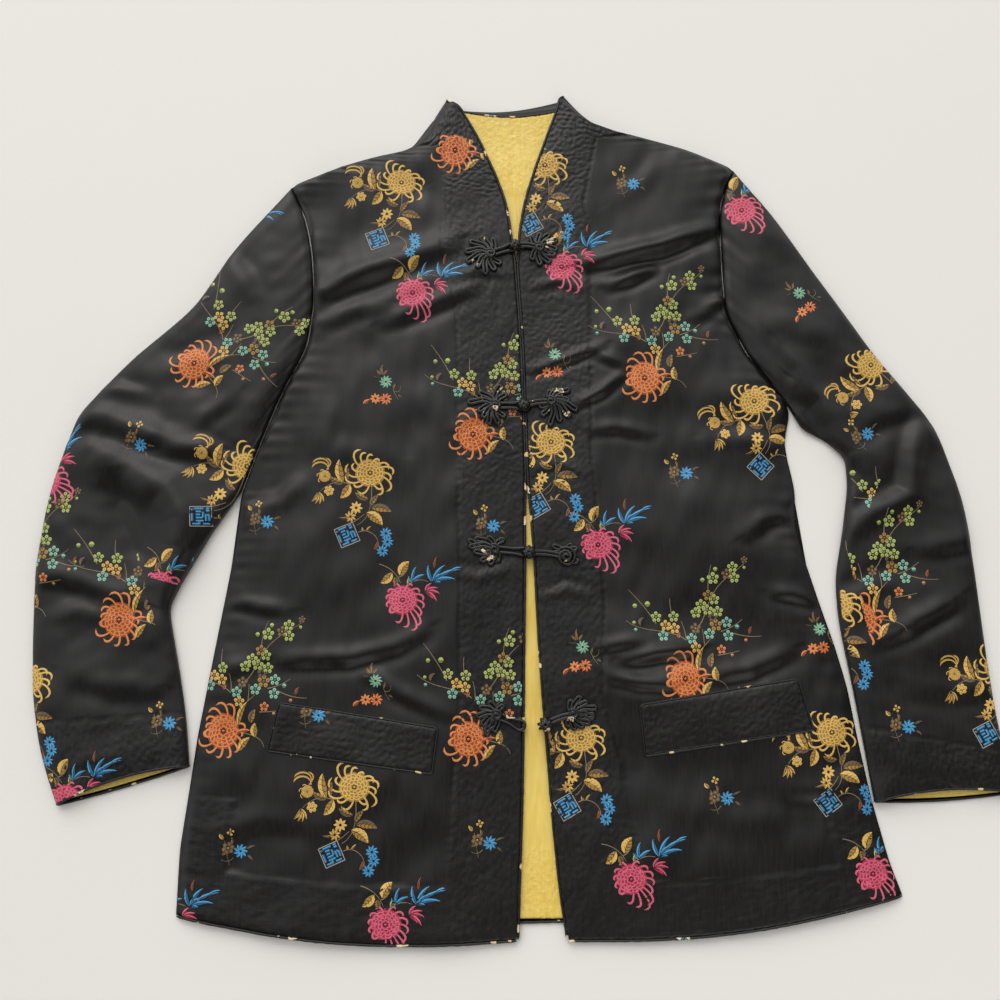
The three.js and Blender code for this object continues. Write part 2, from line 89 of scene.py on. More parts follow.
def feed(made, **inputs):
    """Sets a node's inputs by name or, as _0, by place. Another node's output is linked to."""
    for key, value in inputs.items():
        socket = made.inputs[int(key[1:]) if key[1:].isdigit() else key.replace("_", " ")]
        if isinstance(value, bpy.types.NodeSocket):
            made.id_data.links.new(value, socket)
        else:
            socket.default_value = value
    return made


def node(owner, kind, output=0, operation=None, **inputs):
    """A new node's output. owner is the material or world that it is for."""
    made = owner.node_tree.nodes.new("ShaderNode" + kind)
    if operation:
        made.operation = operation
    return feed(made, **inputs).outputs[output]


def ramp(owner, value, stops, interpolation="LINEAR"):
    """A value turned into a colour. The first two stops are the ends."""
    made = owner.node_tree.nodes.new("ShaderNodeValToRGB")
    made.color_ramp.interpolation = interpolation
    held = made.color_ramp.elements
    for k, (place, colour) in enumerate(stops):
        stop = held[k] if k < 2 else held.new(place)
        stop.position, stop.color = place, (*colour, 1)
    return feed(made, Fac=value).outputs[0]


SHEET_HALF = 4.0
SHEET_COLOUR = (0.92, 0.895, 0.855, 1)
sheet_look, shader = new_look("table_sheet", 0.9)
weave = node(sheet_look, "TexNoise", "Fac", Vector=node(sheet_look, "TexCoord", "Object"),
             Scale=240.0, Detail=4.0)
weave = node(sheet_look, "Bump", Strength=0.15, Distance=0.0008, Height=weave)
feed(shader, Base_Color=SHEET_COLOUR, Normal=weave)

sheet = bpy.data.meshes.new("table_sheet")
corners = [(-1, -1), (1, -1), (1, 1), (-1, 1)]
sheet.from_pydata([(x * SHEET_HALF, y * SHEET_HALF, 0) for x, y in corners], [], [(0, 1, 2, 3)])
table = bpy.data.objects.new("table_sheet", sheet)
sheet.materials.append(sheet_look)
bpy.context.scene.collection.objects.link(table)

world = bpy.data.worlds.new("room")
world.use_nodes = True
bpy.context.scene.world = world
bpy.context.scene.view_settings.view_transform = "Standard"
TOWARDS_WINDOW = (-0.18, 0.46, 0.0)
ROOM_LIGHT = ((0.0, 0.06), (1.0, 1.1), (0.38, 0.06), (0.5, 0.58), (0.7, 0.92))  # place, brightness
ROOM_STRENGTH = 1.12
facing = node(world, "VectorMath", "Value", "DOT_PRODUCT", _0=node(world, "TexCoord", "Generated"),
              _1=TOWARDS_WINDOW)
facing = node(world, "Math", _0=facing, _1=0.5)
room_light = ramp(world, facing, [(place, (level,) * 3) for place, level in ROOM_LIGHT])
feed(world.node_tree.nodes["Background"], Color=room_light, Strength=ROOM_STRENGTH)


def soft_lamp(name, place, aim, size, power, colour):
    lamp = bpy.data.lights.new(name, "AREA")
    lamp.shape = "SQUARE"
    lamp.size = size
    lamp.energy = power
    lamp.color = colour
    held = bpy.data.objects.new(name, lamp)
    held.location = place
    held.rotation_euler = (Vector(aim) - Vector(place)).to_track_quat("-Z", "Y").to_euler()
    bpy.context.scene.collection.objects.link(held)


soft_lamp("window_lamp", (-1.2, 3.9, 3.0), (0, 0, 0), 3.4, 110, (1.0, 0.98, 0.95))
soft_lamp("fill_lamp", (0.9, -2.6, 1.1), (0, -0.3, 0), 1.6, 18, (1.0, 0.97, 0.93))

# The brocade: black silk satin with a fine rib, woven with sprays of flowers, backed and
# quilted with a wandering line of stitches along the edges.


def ribbed_look(name, dark, light, roughness, rib, depth, quilt, sheen=0.0, specular=0.5):
    """Satin with ribs along the cloth, uneven colour, and small puckers where it is quilted."""
    look, shader = new_look(name, roughness, sheen, specular)
    place = node(look, "TexCoord", "Object")
    stretched = node(look, "Mapping", Vector=place, Scale=(1.0, 0.12, 1.0))
    streaks = node(look, "TexNoise", "Fac", Vector=stretched, Scale=420.0, Detail=3.0)
    patches = node(look, "TexNoise", "Fac", Vector=place, Scale=14.0, Detail=3.0)
    patches = node(look, "Math", 0, "MULTIPLY", _0=patches, _1=0.4)
    blend = node(look, "Math", 0, "MULTIPLY_ADD", _0=streaks, _1=0.6, _2=patches)
    gloss = node(look, "MapRange", "Result", Value=streaks, To_Min=roughness - 0.07,
                 To_Max=roughness + 0.07)
    ribs = node(look, "TexWave", "Fac", Vector=place, Scale=rib, Distortion=0.6, Detail=1.0)
    ribs = node(look, "Bump", Strength=0.35, Distance=depth, Height=ribs)
    grain = node(look, "Bump", Strength=0.25, Distance=depth, Height=streaks, Normal=ribs)
    puckers = node(look, "TexNoise", "Fac", Vector=place, Scale=260.0, Detail=2.0, Distortion=1.2)
    quilted = look.node_tree.nodes.new("ShaderNodeAttribute")
    quilted.attribute_name = "quilted"
    puckers = node(look, "Math", 0, "MULTIPLY", _0=puckers, _1=quilted.outputs["Fac"])
    puckers = node(look, "Bump", Strength=0.8, Distance=quilt, Height=puckers, Normal=grain)
    feed(shader, Base_Color=ramp(look, blend, ((0.35, dark), (0.65, light))), Roughness=gloss,
         Normal=puckers)
    return look


BLACK = (0.0046, 0.0040, 0.0039)
WORN_BLACK = (0.0105, 0.0090, 0.0085)
BROCADE_ROUGHNESS = 0.44
RIB_DEPTH = 0.0001
brocade = ribbed_look("brocade_satin", BLACK, WORN_BLACK, BROCADE_ROUGHNESS, 210.0, RIB_DEPTH,
                      0.0002, 0.0, 0.40)


def waves(x, y, length, seed):
    """A wandering field of about the given wavelength. Its zero lines meander evenly."""
    rng = np.random.default_rng(seed)
    field = np.zeros(np.shape(x))
    for _ in range(14):
        turn, start = rng.uniform(0, 2 * math.pi, 2)
        pitch = 2 * math.pi / (length * rng.uniform(0.85, 1.2))
        field += np.cos(pitch * (x * math.cos(turn) + y * math.sin(turn)) + start)
    return field / math.sqrt(7)


QUILT_PITCH = 8.2
QUILT_PUFF = 0.66


def puffed(x, y, seed=3):
    """Height of quilted cloth: puffs between meandering lines of stitches."""
    stitches = waves(x, y, QUILT_PITCH, seed)
    puckers = 0.22 * waves(x, y, 5.2, seed + 1)
    return QUILT_PUFF * (1 - np.exp(-((stitches / 0.36) ** 2))) + puckers * 0.6


def sewn(inside):
    """The share quilted, and the dent of the stitch line that ends the quilting, from how far
    inside that line a point is."""
    return 1 / (1 + np.exp(-1.6 * np.clip(inside, -9, 9))), np.exp(-((inside / 1.1) ** 2))


def crease(x, y, line, width, height, lean=0.0):
    """A ridge along a line of points, or a trough if height is below zero. lean puts a sharper
    trough beside it: above 0 on the left of the way the line runs, below 0 on the right."""
    line = np.array(line, float)
    steps = np.diff(line, axis=0)
    lengths = np.hypot(steps[:, 0], steps[:, 1])
    walked = np.concatenate([[0], np.cumsum(lengths)])
    nearest = np.full(np.shape(x), 1e9)
    side = np.zeros(np.shape(x))
    share = np.zeros(np.shape(x))
    for (ax, ay), (dx, dy), length, before in zip(line[:-1], steps, lengths, walked):
        along = np.clip(((x - ax) * dx + (y - ay) * dy) / length**2, 0, 1)
        away = np.hypot(x - ax - dx * along, y - ay - dy * along)
        left = np.sign(dx * (y - ay) - dy * (x - ax))
        closer = away < nearest
        nearest = np.where(closer, away, nearest)
        side = np.where(closer, left, side)
        share = np.where(closer, (before + along * length) / walked[-1], share)
    fade = np.sin(math.pi * np.clip(0.06 + 0.88 * share, 0, 1)) ** 0.6
    ridge = np.exp(-((nearest / width) ** 2))
    if lean:
        beside = nearest * side - math.copysign(1.5 * width, lean)
        ridge = ridge - abs(lean) * np.exp(-((beside / (0.75 * width)) ** 2))
    return height * fade * ridge


def smoothed(values, reach):
    """Rounds a line of points off over a number of places, with its ends held."""
    pad = int(3 * reach)
    kernel = np.exp(-0.5 * (np.arange(-pad, pad + 1) / reach) ** 2)
    kernel /= kernel.sum()
    before = 2 * values[0] - values[pad:0:-1]
    after = 2 * values[-1] - values[-2 : -pad - 2 : -1]
    full = np.concatenate([before, values, after])
    return np.stack([np.convolve(column, kernel, "valid") for column in full.T], 1)


def drawn(rows, step, reach=8.0):
    """The rows of a pattern piece, filled in a step apart and rounded off over a reach."""
    rows = np.array(rows, float)
    moves = np.diff(rows[:, :4], axis=0)
    longest = np.maximum(np.hypot(moves[:, 0], moves[:, 1]), np.hypot(moves[:, 2], moves[:, 3]))
    walked = np.concatenate([[0], np.cumsum(longest)])
    count = int(walked[-1] / step)
    places = np.linspace(0, walked[-1], count)
    filled = np.stack([np.interp(places, walked, column) for column in rows.T], 1)
    return smoothed(filled, reach / step), places, walked


def grid_faces(rows, columns, start=0, joined=False):
    """The four-sided faces of a grid of points. joined closes each row into a ring."""
    across = np.arange(columns if joined else columns - 1)
    row, column = np.meshgrid(np.arange(rows - 1) * columns, across, indexing="ij")
    right = (column + 1) % columns
    corners = [row + column, row + right, row + columns + right, row + columns + column]
    return start + np.stack([corner.ravel() for corner in corners], 1)


def shell(top, under):
    """A closed wall between two grids of points."""
    rows, columns = top.shape[:2]
    count = rows * columns
    order = np.arange(count).reshape(rows, columns)
    rim = np.concatenate([order[0], order[1:, -1], order[-1, -2::-1], order[-2:0:-1, 0]])
    ahead = np.roll(rim, -1)
    edge = np.stack([rim, rim + count, ahead + count, ahead], 1)
    faces = [grid_faces(rows, columns), grid_faces(rows, columns, count)[:, ::-1], edge]
    return np.concatenate([top.reshape(-1, 3), under.reshape(-1, 3)]), np.concatenate(faces)


def piece(name, points, faces, looks, replaces=(), pick=None, quilted=None):
    """A piece that rides on the jacket, from points in millimetres. Its faces are turned out,
    unless pick says which look each has, as on the sprays of thread."""
    points = in_room(points)
    a, b, c = (points[faces[:, i]] for i in range(3))
    if pick is None and ((a - points.mean(0)) * np.cross(b - a, c - a)).sum() < 0:
        faces = faces[:, ::-1]
    mesh = bpy.data.meshes.new(name)
    mesh.from_pydata(points.tolist(), [], faces.tolist())
    mesh.shade_smooth()
    for look in looks:
        mesh.materials.append(look)
    if pick is not None:
        mesh.polygons.foreach_set("material_index", pick.astype(np.int32))
    if quilted is not None:
        layer = mesh.attributes.new("quilted", "FLOAT", "POINT")
        layer.data.foreach_set("value", np.ascontiguousarray(quilted, np.float32).ravel())
    made = bpy.data.objects.new(name, mesh)
    bpy.context.scene.collection.objects.link(made)
    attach(made, "root")
    if replaces:
        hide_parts(*replaces)
    return made


# The two fronts: each is cut in one with its half of the funnel collar, lined, and quilted
# down the opening, round the collar, along the hem and beside the side slit. They lie on the
# back, puffed a little between the side seam and the edge.
FRONT_LIFT = 5.0  # a front's upper face over the table
FRONT_WALL = 1.3
FRONT_SWELL = 2.2
EDGE_HEIGHT = 2.4  # of the side seams, where a front rolls down to the back
EDGE_ROLL = 5.5
ARMHOLE_RUN = 12  # over which the armhole seam comes and goes
ARMHOLE_DENT = 2.6
STITCH_DENT = 0.9
PIPING = 1.2  # radius
PIPING_ROOM = 2 * PIPING + 0.2
BAND_COLUMNS = 36
BAND_WIDTH = 62
FIELD_COLUMNS = 66
FRONT_STEP = 2.3

RIGHT_FRONT_ROWS = [  # side x and y, finished edge x and y, sag between
    (-298, -369, 1, -389, 12), (-297, -314, 3, -330, 8), (-291, -266, 5, -275, 4),
    (-285, -216, 6, -220, 0), (-272, -137, 7, -137, 0), (-261, -71, 8, -75, 0),
    (-256, -34, 8, -30, 0), (-254, -1, 8.8, 15, 0), (-236, 51, 8.0, 52, 0),
    (-218, 97, 6.5, 90, 0), (-196, 140, 5.1, 132, 0), (-190, 186, 2.7, 175, 0),
    (-194, 236, -0.9, 225, 0), (-201, 268, -5, 255, 0), (-211, 290, -8, 277, 0),
    (-218, 298, -12, 290, 0), (-168, 319, -19, 309, 0), (-135, 329, -25, 322, 0),
    (-102, 336, -33, 341, 0), (-88, 349, -40, 354, 0), (-78, 370, -47, 366, 0),
    (-68, 386, -54, 376, 0),
]
RIGHT_ARMHOLE = (7, 15)  # the rows at its foot and at the shoulder
LEFT_FRONT_ROWS = [
    (335, -352, 41, -389, 12), (325, -324, 35, -349, 8), (312, -271, 29, -289, 4),
    (302, -218, 25, -235, 0), (295, -174, 21, -185, 0), (285, -136, 18, -140, 0),
    (275, -105, 16, -100, 0), (260, -55, 14, -55, 0), (254, -29, 11, -20, 0),
    (255, 5, 8.2, 15, 0), (246, 47, 7.4, 50, 0), (254, 81, 5.9, 88, 0),
    (240, 97, 5.3, 108, 0), (215, 132, 4.2, 140, 0), (195, 175, 2.2, 172, 0),
    (193, 225, -0.8, 215, 0), (192, 273, 1, 250, 0), (201, 305, 5, 276, 0),
    (211, 315, 9, 292, 0), (163, 336, 17, 317, 0), (125, 347, 25, 340, 0),
    (100, 354, 30, 354, 0), (83, 358, 34, 365, 0), (68, 366, 37, 374, 0),
    (56, 378, 39, 381, 0), (46, 390, 40, 386, 0),
]
LEFT_ARMHOLE = (11, 18)

# Where the stitch line of the edge band runs: y, and x on each front.
RIGHT_BAND = [
    (-339, -63), (-272, -58), (-185, -52), (-59, -53), (167, -56), (200, -62), (240, -71),
    (265, -69), (336, -69), (345, -140),
]
LEFT_BAND = [
    (-327, 107), (-238, 91), (-185, 76), (-96, 78), (43, 68), (257, 69), (280, 63), (300, 67),
    (346, 76), (356, 140),
]
HEM_BAND = 47
SLIT_BAND = 43
SLIT_HEIGHT = 112

RIGHT_CREASES = [  # points, width, height, lean
    ([(-190, 190), (-150, 210), (-111, 224), (-66, 241)], 11, 6.5, -0.5),
    ([(-186, 160), (-160, 176), (-128, 182)], 9, 2.6, -0.5),
    ([(-122, 166), (-84, 180), (-44, 197)], 8, 3.4, -0.6),
    ([(-254, -94), (-232, -101), (-210, -104)], 7, 3.0, -0.5),
    ([(-211, -148), (-150, -146), (-110, -136), (-86, -122)], 8, 4.2, -0.6),
    ([(-136, -159), (-104, -178), (-64, -196)], 7, 3.0, -0.5),
    ([(-250, -20), (-216, -6), (-190, 16)], 9, 2.4, 0.4),
    ([(-268, -160), (-236, -150)], 8, 2.2, -0.4),
    ([(-262, -296), (-226, -286), (-180, -292)], 10, 2.0, -0.4),
    ([(-200, 60), (-170, 40), (-120, 36)], 12, 1.8, 0.3),
    ([(-150, 318), (-120, 290), (-90, 270)], 10, 1.8, 0.3),
    ([(-96, 330), (-84, 300)], 6, 1.4, 0.0),
    ([(-60, 206), (-38, 214), (-12, 210)], 5, 1.6, -0.5),
    ([(-58, 62), (-40, 74), (-14, 70)], 5, 1.4, -0.5),
    ([(-56, -72), (-34, -76), (-4, -66)], 6, 1.5, 0.5),
]
LEFT_CREASES = [
    ([(66, 222), (104, 231), (136, 238), (184, 256)], 8, 7.0, -0.7),
    ([(88, 200), (106, 206), (126, 216)], 6, 4.0, -0.6),
    ([(197, 191), (184, 181), (168, 170)], 7, 3.0, 0.5),
    ([(14, 118), (40, 126), (78, 141)], 5, 3.0, -0.6),
    ([(74, 134), (98, 122)], 5, 2.6, -0.5),
    ([(56, 86), (78, 97), (98, 114)], 5, 3.4, -0.6),
    ([(68, 62), (92, 64), (120, 58)], 6, 2.6, -0.5),
    ([(70, -138), (96, -133), (118, -130)], 6, 3.0, -0.5),
    ([(98, -146), (128, -141), (156, -138)], 8, 6.5, -0.6),
    ([(84, -163), (110, -169), (136, -170)], 6, 3.6, -0.6),
    ([(174, -163), (208, -156), (242, -141)], 8, 4.2, -0.6),
    ([(232, -88), (248, -90), (264, -94)], 6, 3.2, -0.5),
    ([(208, -34), (224, -22), (242, -15)], 8, 3.6, -0.6),
    ([(240, 40), (214, 52), (180, 52)], 9, 2.6, -0.4),
    ([(300, -250), (270, -262), (236, -262)], 9, 2.2, 0.4),
    ([(150, -280), (190, -290), (240, -286)], 12, 1.8, 0.3),
    ([(150, 330), (120, 300), (96, 284)], 10, 1.8, -0.3),
    ([(60, 196), (40, 204), (14, 198)], 5, 1.6, 0.5),
    ([(60, 20), (36, 30), (16, 24)], 5, 1.4, 0.5),
    ([(64, -92), (44, -86), (22, -94)], 5, 1.5, -0.5),
]


def spread_out(count, first, last, bias):
    """Shares from 0 to 1 that crowd towards both ends as bias goes from 0 to 1."""
    even = np.linspace(first, last, count)
    return even * (1 - bias) + (0.5 - 0.5 * np.cos(math.pi * even)) * bias


def front_grid(rows, armhole, band, creases, seed):
    """A front's upper face, what it has been quilted, and its armhole seam."""
    filled, places, walked = drawn(rows, FRONT_STEP)
    side, edge, sag = filled[:, 0:2], filled[:, 2:4], filled[:, 4]
    length = np.hypot(*(edge - side).T)[:, None]
    band_share = np.minimum(BAND_WIDTH / length, 0.5)
    full = 1 - np.minimum(PIPING_ROOM / length, 0.3)
    field = np.linspace(0, 1, FIELD_COLUMNS, endpoint=False) ** 1.15
    quilt = np.linspace(0, 1, BAND_COLUMNS)
    u = np.concatenate([field * (1 - band_share), (1 - band_share) + quilt * band_share], 1) * full
    x = side[:, :1] + (edge - side)[:, :1] * u
    y = side[:, 1:] + (edge - side)[:, 1:] * u - sag[:, None] * np.sin(math.pi * u)
    from_side = u * length
    from_hem = np.repeat(places[:, None], u.shape[1], 1)

    seam_low, seam_high = walked[armhole[0]], walked[armhole[1]]
    outward = math.copysign(1, rows[0][0])
    line = np.interp(y, *np.array(band, float).T)
    inside_edge = outward * (line - x)
    inside_hem = HEM_BAND - from_hem
    inside_slit = np.minimum(SLIT_BAND - from_side, SLIT_HEIGHT - from_hem)
    inside = np.maximum(np.maximum(inside_edge, inside_hem), inside_slit)
    quilted, stitch_line = sewn(inside)

    loose = 1 - 0.6 * quilted
    z = FRONT_LIFT + FRONT_SWELL * np.sin(math.pi * u**0.8) ** 0.7
    z += loose * (1.5 * waves(x, y, 130, seed) + 0.55 * waves(x, y, 52, seed + 1))
    z += loose * 0.16 * waves(x, y * 0.5, 17, seed + 2)
    for points, width, height, lean in creases:
        z += crease(x, y, points, width, height, lean)
    z += quilted * puffed(x, y, seed) - STITCH_DENT * stitch_line
    z += 0.3 * stitch_line * waves(x, y, 7, seed + 4)

    in_seam = np.minimum(places - seam_low, seam_high - places)[:, None]
    on_armhole = np.clip(in_seam / ARMHOLE_RUN, 0, 1)
    z += 0.55 * waves(from_hem, from_hem * 0, 15, seed + 5) * np.exp(-from_side / 14)
    roll = np.exp(-((from_side / EDGE_ROLL) ** 2))
    groove = np.exp(-((from_side / 3.2) ** 2))
    z += (EDGE_HEIGHT - z) * roll * (1 - on_armhole) - on_armhole * groove * ARMHOLE_DENT
    z = np.maximum(z - 0.8 * np.exp(-((from_hem / 3.0) ** 2)), EDGE_HEIGHT)
    top = np.stack([x, y, z], 2)
    wall = FRONT_WALL * (1 - 0.35 * roll)
    under = top - np.stack([0 * x, 0 * y, wall], 2)
    seam = (places >= seam_low) & (places <= seam_high)
    return {
        "top": top, "under": under, "quilted": quilted, "armhole": top[seam, 0, :],
        "hem": top[0], "edge": top[:, -1],
    }


right_front = front_grid(RIGHT_FRONT_ROWS, RIGHT_ARMHOLE, RIGHT_BAND, RIGHT_CREASES, 21)
left_front = front_grid(LEFT_FRONT_ROWS, LEFT_ARMHOLE, LEFT_BAND, LEFT_CREASES, 47)
for name, front in (("right_front", right_front), ("left_front", left_front)):
    points, faces = shell(front["top"], front["under"])
    quilted = np.concatenate([front["quilted"].ravel()] * 2)
    made = piece(f"cloth_{name}", points, faces, [brocade], [name], quilted=quilted)

# The back: one panel of the brocade from hem to collar top. It lies flat on the table, its
# outer face down, under the fronts, and is joined to them at the sides and shoulders.
BACK_WALL = 1.2
BACK_ROWS = [  # right x and y, left x and y, sag between
    (-284, -372, 320, -356, 10), (-290, -314, 318, -314, 6), (-285, -216, 302, -218, 0),
    (-261, -71, 264, -71, 0), (-254, -1, 254, 0, 0), (-236, 51, 247, 51, 0),
    (-218, 97, 248, 86, 0), (-196, 140, 213, 135, 0), (-190, 186, 195, 186, 0),
    (-194, 236, 193, 236, 0), (-201, 268, 194, 284, 0), (-218, 298, 211, 315, 0),
    (-168, 319, 163, 336, 0), (-135, 329, 125, 347, 0), (-102, 336, 100, 354, 0),
    (-78, 370, 68, 366, 0), (-60, 377, 44, 386, 6),
]
back_rows = drawn(BACK_ROWS, 9.0, 5.0)[0]
u = np.linspace(0, 1, 60)
x = back_rows[:, :1] + (back_rows[:, 2:3] - back_rows[:, :1]) * u
y = back_rows[:, 1:2] + (back_rows[:, 3:4] - back_rows[:, 1:2]) * u
y = y - back_rows[:, 4:5] * np.sin(math.pi * u)
back_top = np.stack([x, y, 0 * x + BACK_WALL], 2)
back_under = np.stack([x, y, 0 * x], 2)
points, faces = shell(back_top, back_under)
cloth_back = piece("cloth_back", points, faces, [brocade], ["back_panel"],
                   quilted=np.zeros(len(points)))

# The yellow satin lining of the back, where it shows between the fronts and inside the collar.
# The collar and the hem are quilted through it. It is stitched down flat on the back.
LINING_ROWS = [  # y, right x, left x
    (-369, -22, 66), (-120, -20, 48), (180, -30, 34), (300, -46, 50), (340, -62, 58),
    (368, -64, 50), (376, -60, 46),
]
LINING_LIFT = 1.75  # its upper face over the table
LINING_WALL = 0.6
COLLAR_QUILTING, HEM_QUILTING = 292, -312  # where the quilting starts
YELLOW = (0.88, 0.60, 0.10)
PALE_YELLOW = (0.95, 0.73, 0.20)
lining_satin = ribbed_look("lining_satin", YELLOW, PALE_YELLOW, 0.40, 240.0, RIB_DEPTH, 0.0007, 0.1)
lining_y = np.arange(-372, 375, 1.9)
knots = np.array(LINING_ROWS, float)
right_x, left_x = (np.interp(lining_y, knots[:, 0], knots[:, i]) for i in (1, 2))
u = np.linspace(0, 1, 58)
x = right_x[:, None] + (left_x - right_x)[:, None] * u
y = lining_y[:, None] + 0 * x
collar_dip = np.clip((y - 340) / 34, 0, 1)
y = y - 7 * collar_dip * np.sin(math.pi * u)
inside = np.maximum(y - COLLAR_QUILTING, HEM_QUILTING - y)
quilted = 1 / (1 + np.exp(-np.clip(inside / 1.5, -9, 9)))
z = LINING_LIFT + 0.25 * waves(x, y, 70, 8) * (1 - quilted)
z = z + 0.45 * crease(x, y, [(0, -300), (6, -200), (8, -90)], 9, 1, 0.5)
z = z + quilted * (0.85 * puffed(x, y, 9) - 0.1) - 0.5 * np.exp(-(((x + 4) / 1.0) ** 2)) * (y > 230)
z = z + 2.6 * np.clip((y - 330) / 44, 0, 1) ** 2
lining_top = np.stack([x, y, z], 2)
lining_under = np.stack([x, y, np.maximum(z - LINING_WALL, BACK_WALL + 0.05)], 2)
points, faces = shell(lining_top, lining_under)
cloth_lining = piece("cloth_back_lining", points, faces, [lining_satin], ["back_lining"],
                     quilted=np.concatenate([quilted.ravel()] * 2))

# The sleeves: straight tubes that lie flattened, set in to the armholes with a little ease, with
# a quilted band at the cuff. A yellow lining is turned up inside each mouth.
SLEEVE_HEIGHT = 9.2
SLEEVE_MIDDLE = 3.2  # the height at which a flattened edge turns
SLEEVE_STEP = 2.7
HEAD_HEIGHT = FRONT_LIFT + 1.4  # at the armhole seam
HEAD_REACH = 26
HEAD_DENT = 2.8
TUCK_HEIGHT = 1.4  # of the edge tucked under a front
SLEEVE_LEAST = 2.6
MOUTH_SINK = 2.2  # how much flatter a sleeve lies at its mouth
MOUTH_REACH = 30
SLEEVE_TOP = 100
SLEEVE_UNDER = 30
SLEEVE_EASE = 1.3  # between the seam line and the sleeve's first row
CUFF_LINING_DEPTH = 36
CUFF_WALL = 1.5
CUFF_CURVE = 55  # over which the sleeve's rings come to follow the curve of its mouth
RIGHT_SLEEVE_ROWS = [  # outer x and y, inner x and y, share of the armhole's curve
    (-219, 299, -255, -2, 1), (-269, 237, -260, -9, 0.4), (-302, 179, -268, -20, 0.1),
    (-360, 128, -278, -34, 0), (-407, 76, -288, -52, 0), (-430, 0, -305, -82, 0),
    (-438, -65, -315, -104, 0), (-437, -125, -309, -132, 0), (-434, -180, -302, -165, 0),
    (-425, -230, -295, -204, 0), (-407, -276, -291, -242, 0),
]
LEFT_SLEEVE_ROWS = [
    (212, 316, 256, 80, 1), (245, 270, 264, 61, 0.4), (290, 198, 285, 50, 0.1),
    (334, 131, 302, 34, 0), (387, 64, 303, 8, 0), (409, -7, 297, -31, 0),
    (417, -92, 288, -76, 0), (421, -150, 289, -114, 0), (427, -205, 300, -178, 0),
    (438, -265, 314, -273, 0),
]
RIGHT_SLEEVE_CREASES = [
    ([(-418, 74), (-388, 74), (-357, 65), (-326, 52), (-286, 46)], 12, 6.5, -0.5),
    ([(-386, 43), (-351, 20), (-320, 4), (-303, -20), (-302, -48), (-316, -80)], 18, 11.5, 0.0),
    ([(-366, 26), (-362, 0), (-352, -30), (-343, -55), (-338, -84)], 17, -9.5, 0.0),
    ([(-430, -72), (-404, -74), (-370, -88), (-344, -96)], 10, 4.5, -0.6),
    ([(-420, -112), (-390, -104), (-356, -110)], 9, 2.4, 0.4),
    ([(-398, -160), (-362, -170), (-328, -172)], 11, 3.0, -0.6),
    ([(-276, 226), (-258, 204), (-246, 180)], 10, 2.6, 0.5),
    ([(-256, 138), (-300, 120), (-350, 112)], 12, 2.6, -0.5),
    ([(-262, 30), (-290, 42), (-316, 40)], 9, 3.0, -0.5),
    ([(-392, 100), (-368, 98), (-344, 92)], 7, 2.4, 0.5),
    ([(-262, 92), (-286, 74), (-296, 60)], 8, 2.0, 0.4),
    ([(-428, -20), (-408, -36), (-392, -60)], 9, 2.0, -0.4),
]
LEFT_SLEEVE_CREASES = [
    ([(262, 104), (280, 90), (291, 68), (304, 38)], 10, 5.5, -0.7),
    ([(246, 140), (262, 120), (272, 98)], 8, 3.0, -0.5),
    ([(396, 74), (371, 70), (335, 60), (314, 44)], 9, -3.6, 0.0),
    ([(376, 74), (364, 40), (358, 0), (324, -18), (298, -38)], 10, 5.0, -0.5),
    ([(416, -38), (392, -44), (368, -48)], 9, 2.6, 0.5),
    ([(392, -94), (368, -106), (348, -114)], 9, 4.0, 0.6),
    ([(382, -102), (350, -120), (318, -133)], 8, 3.4, 0.5),
    ([(300, -96), (324, -84), (346, -80)], 10, 2.4, 0.5),
    ([(230, 164), (262, 160), (290, 148), (306, 128)], 14, 2.6, -0.3),
    ([(226, 262), (244, 240), (250, 214)], 9, 1.8, 0.4),
    ([(420, -170), (390, -176), (350, -170)], 10, 1.8, 0.4),
]


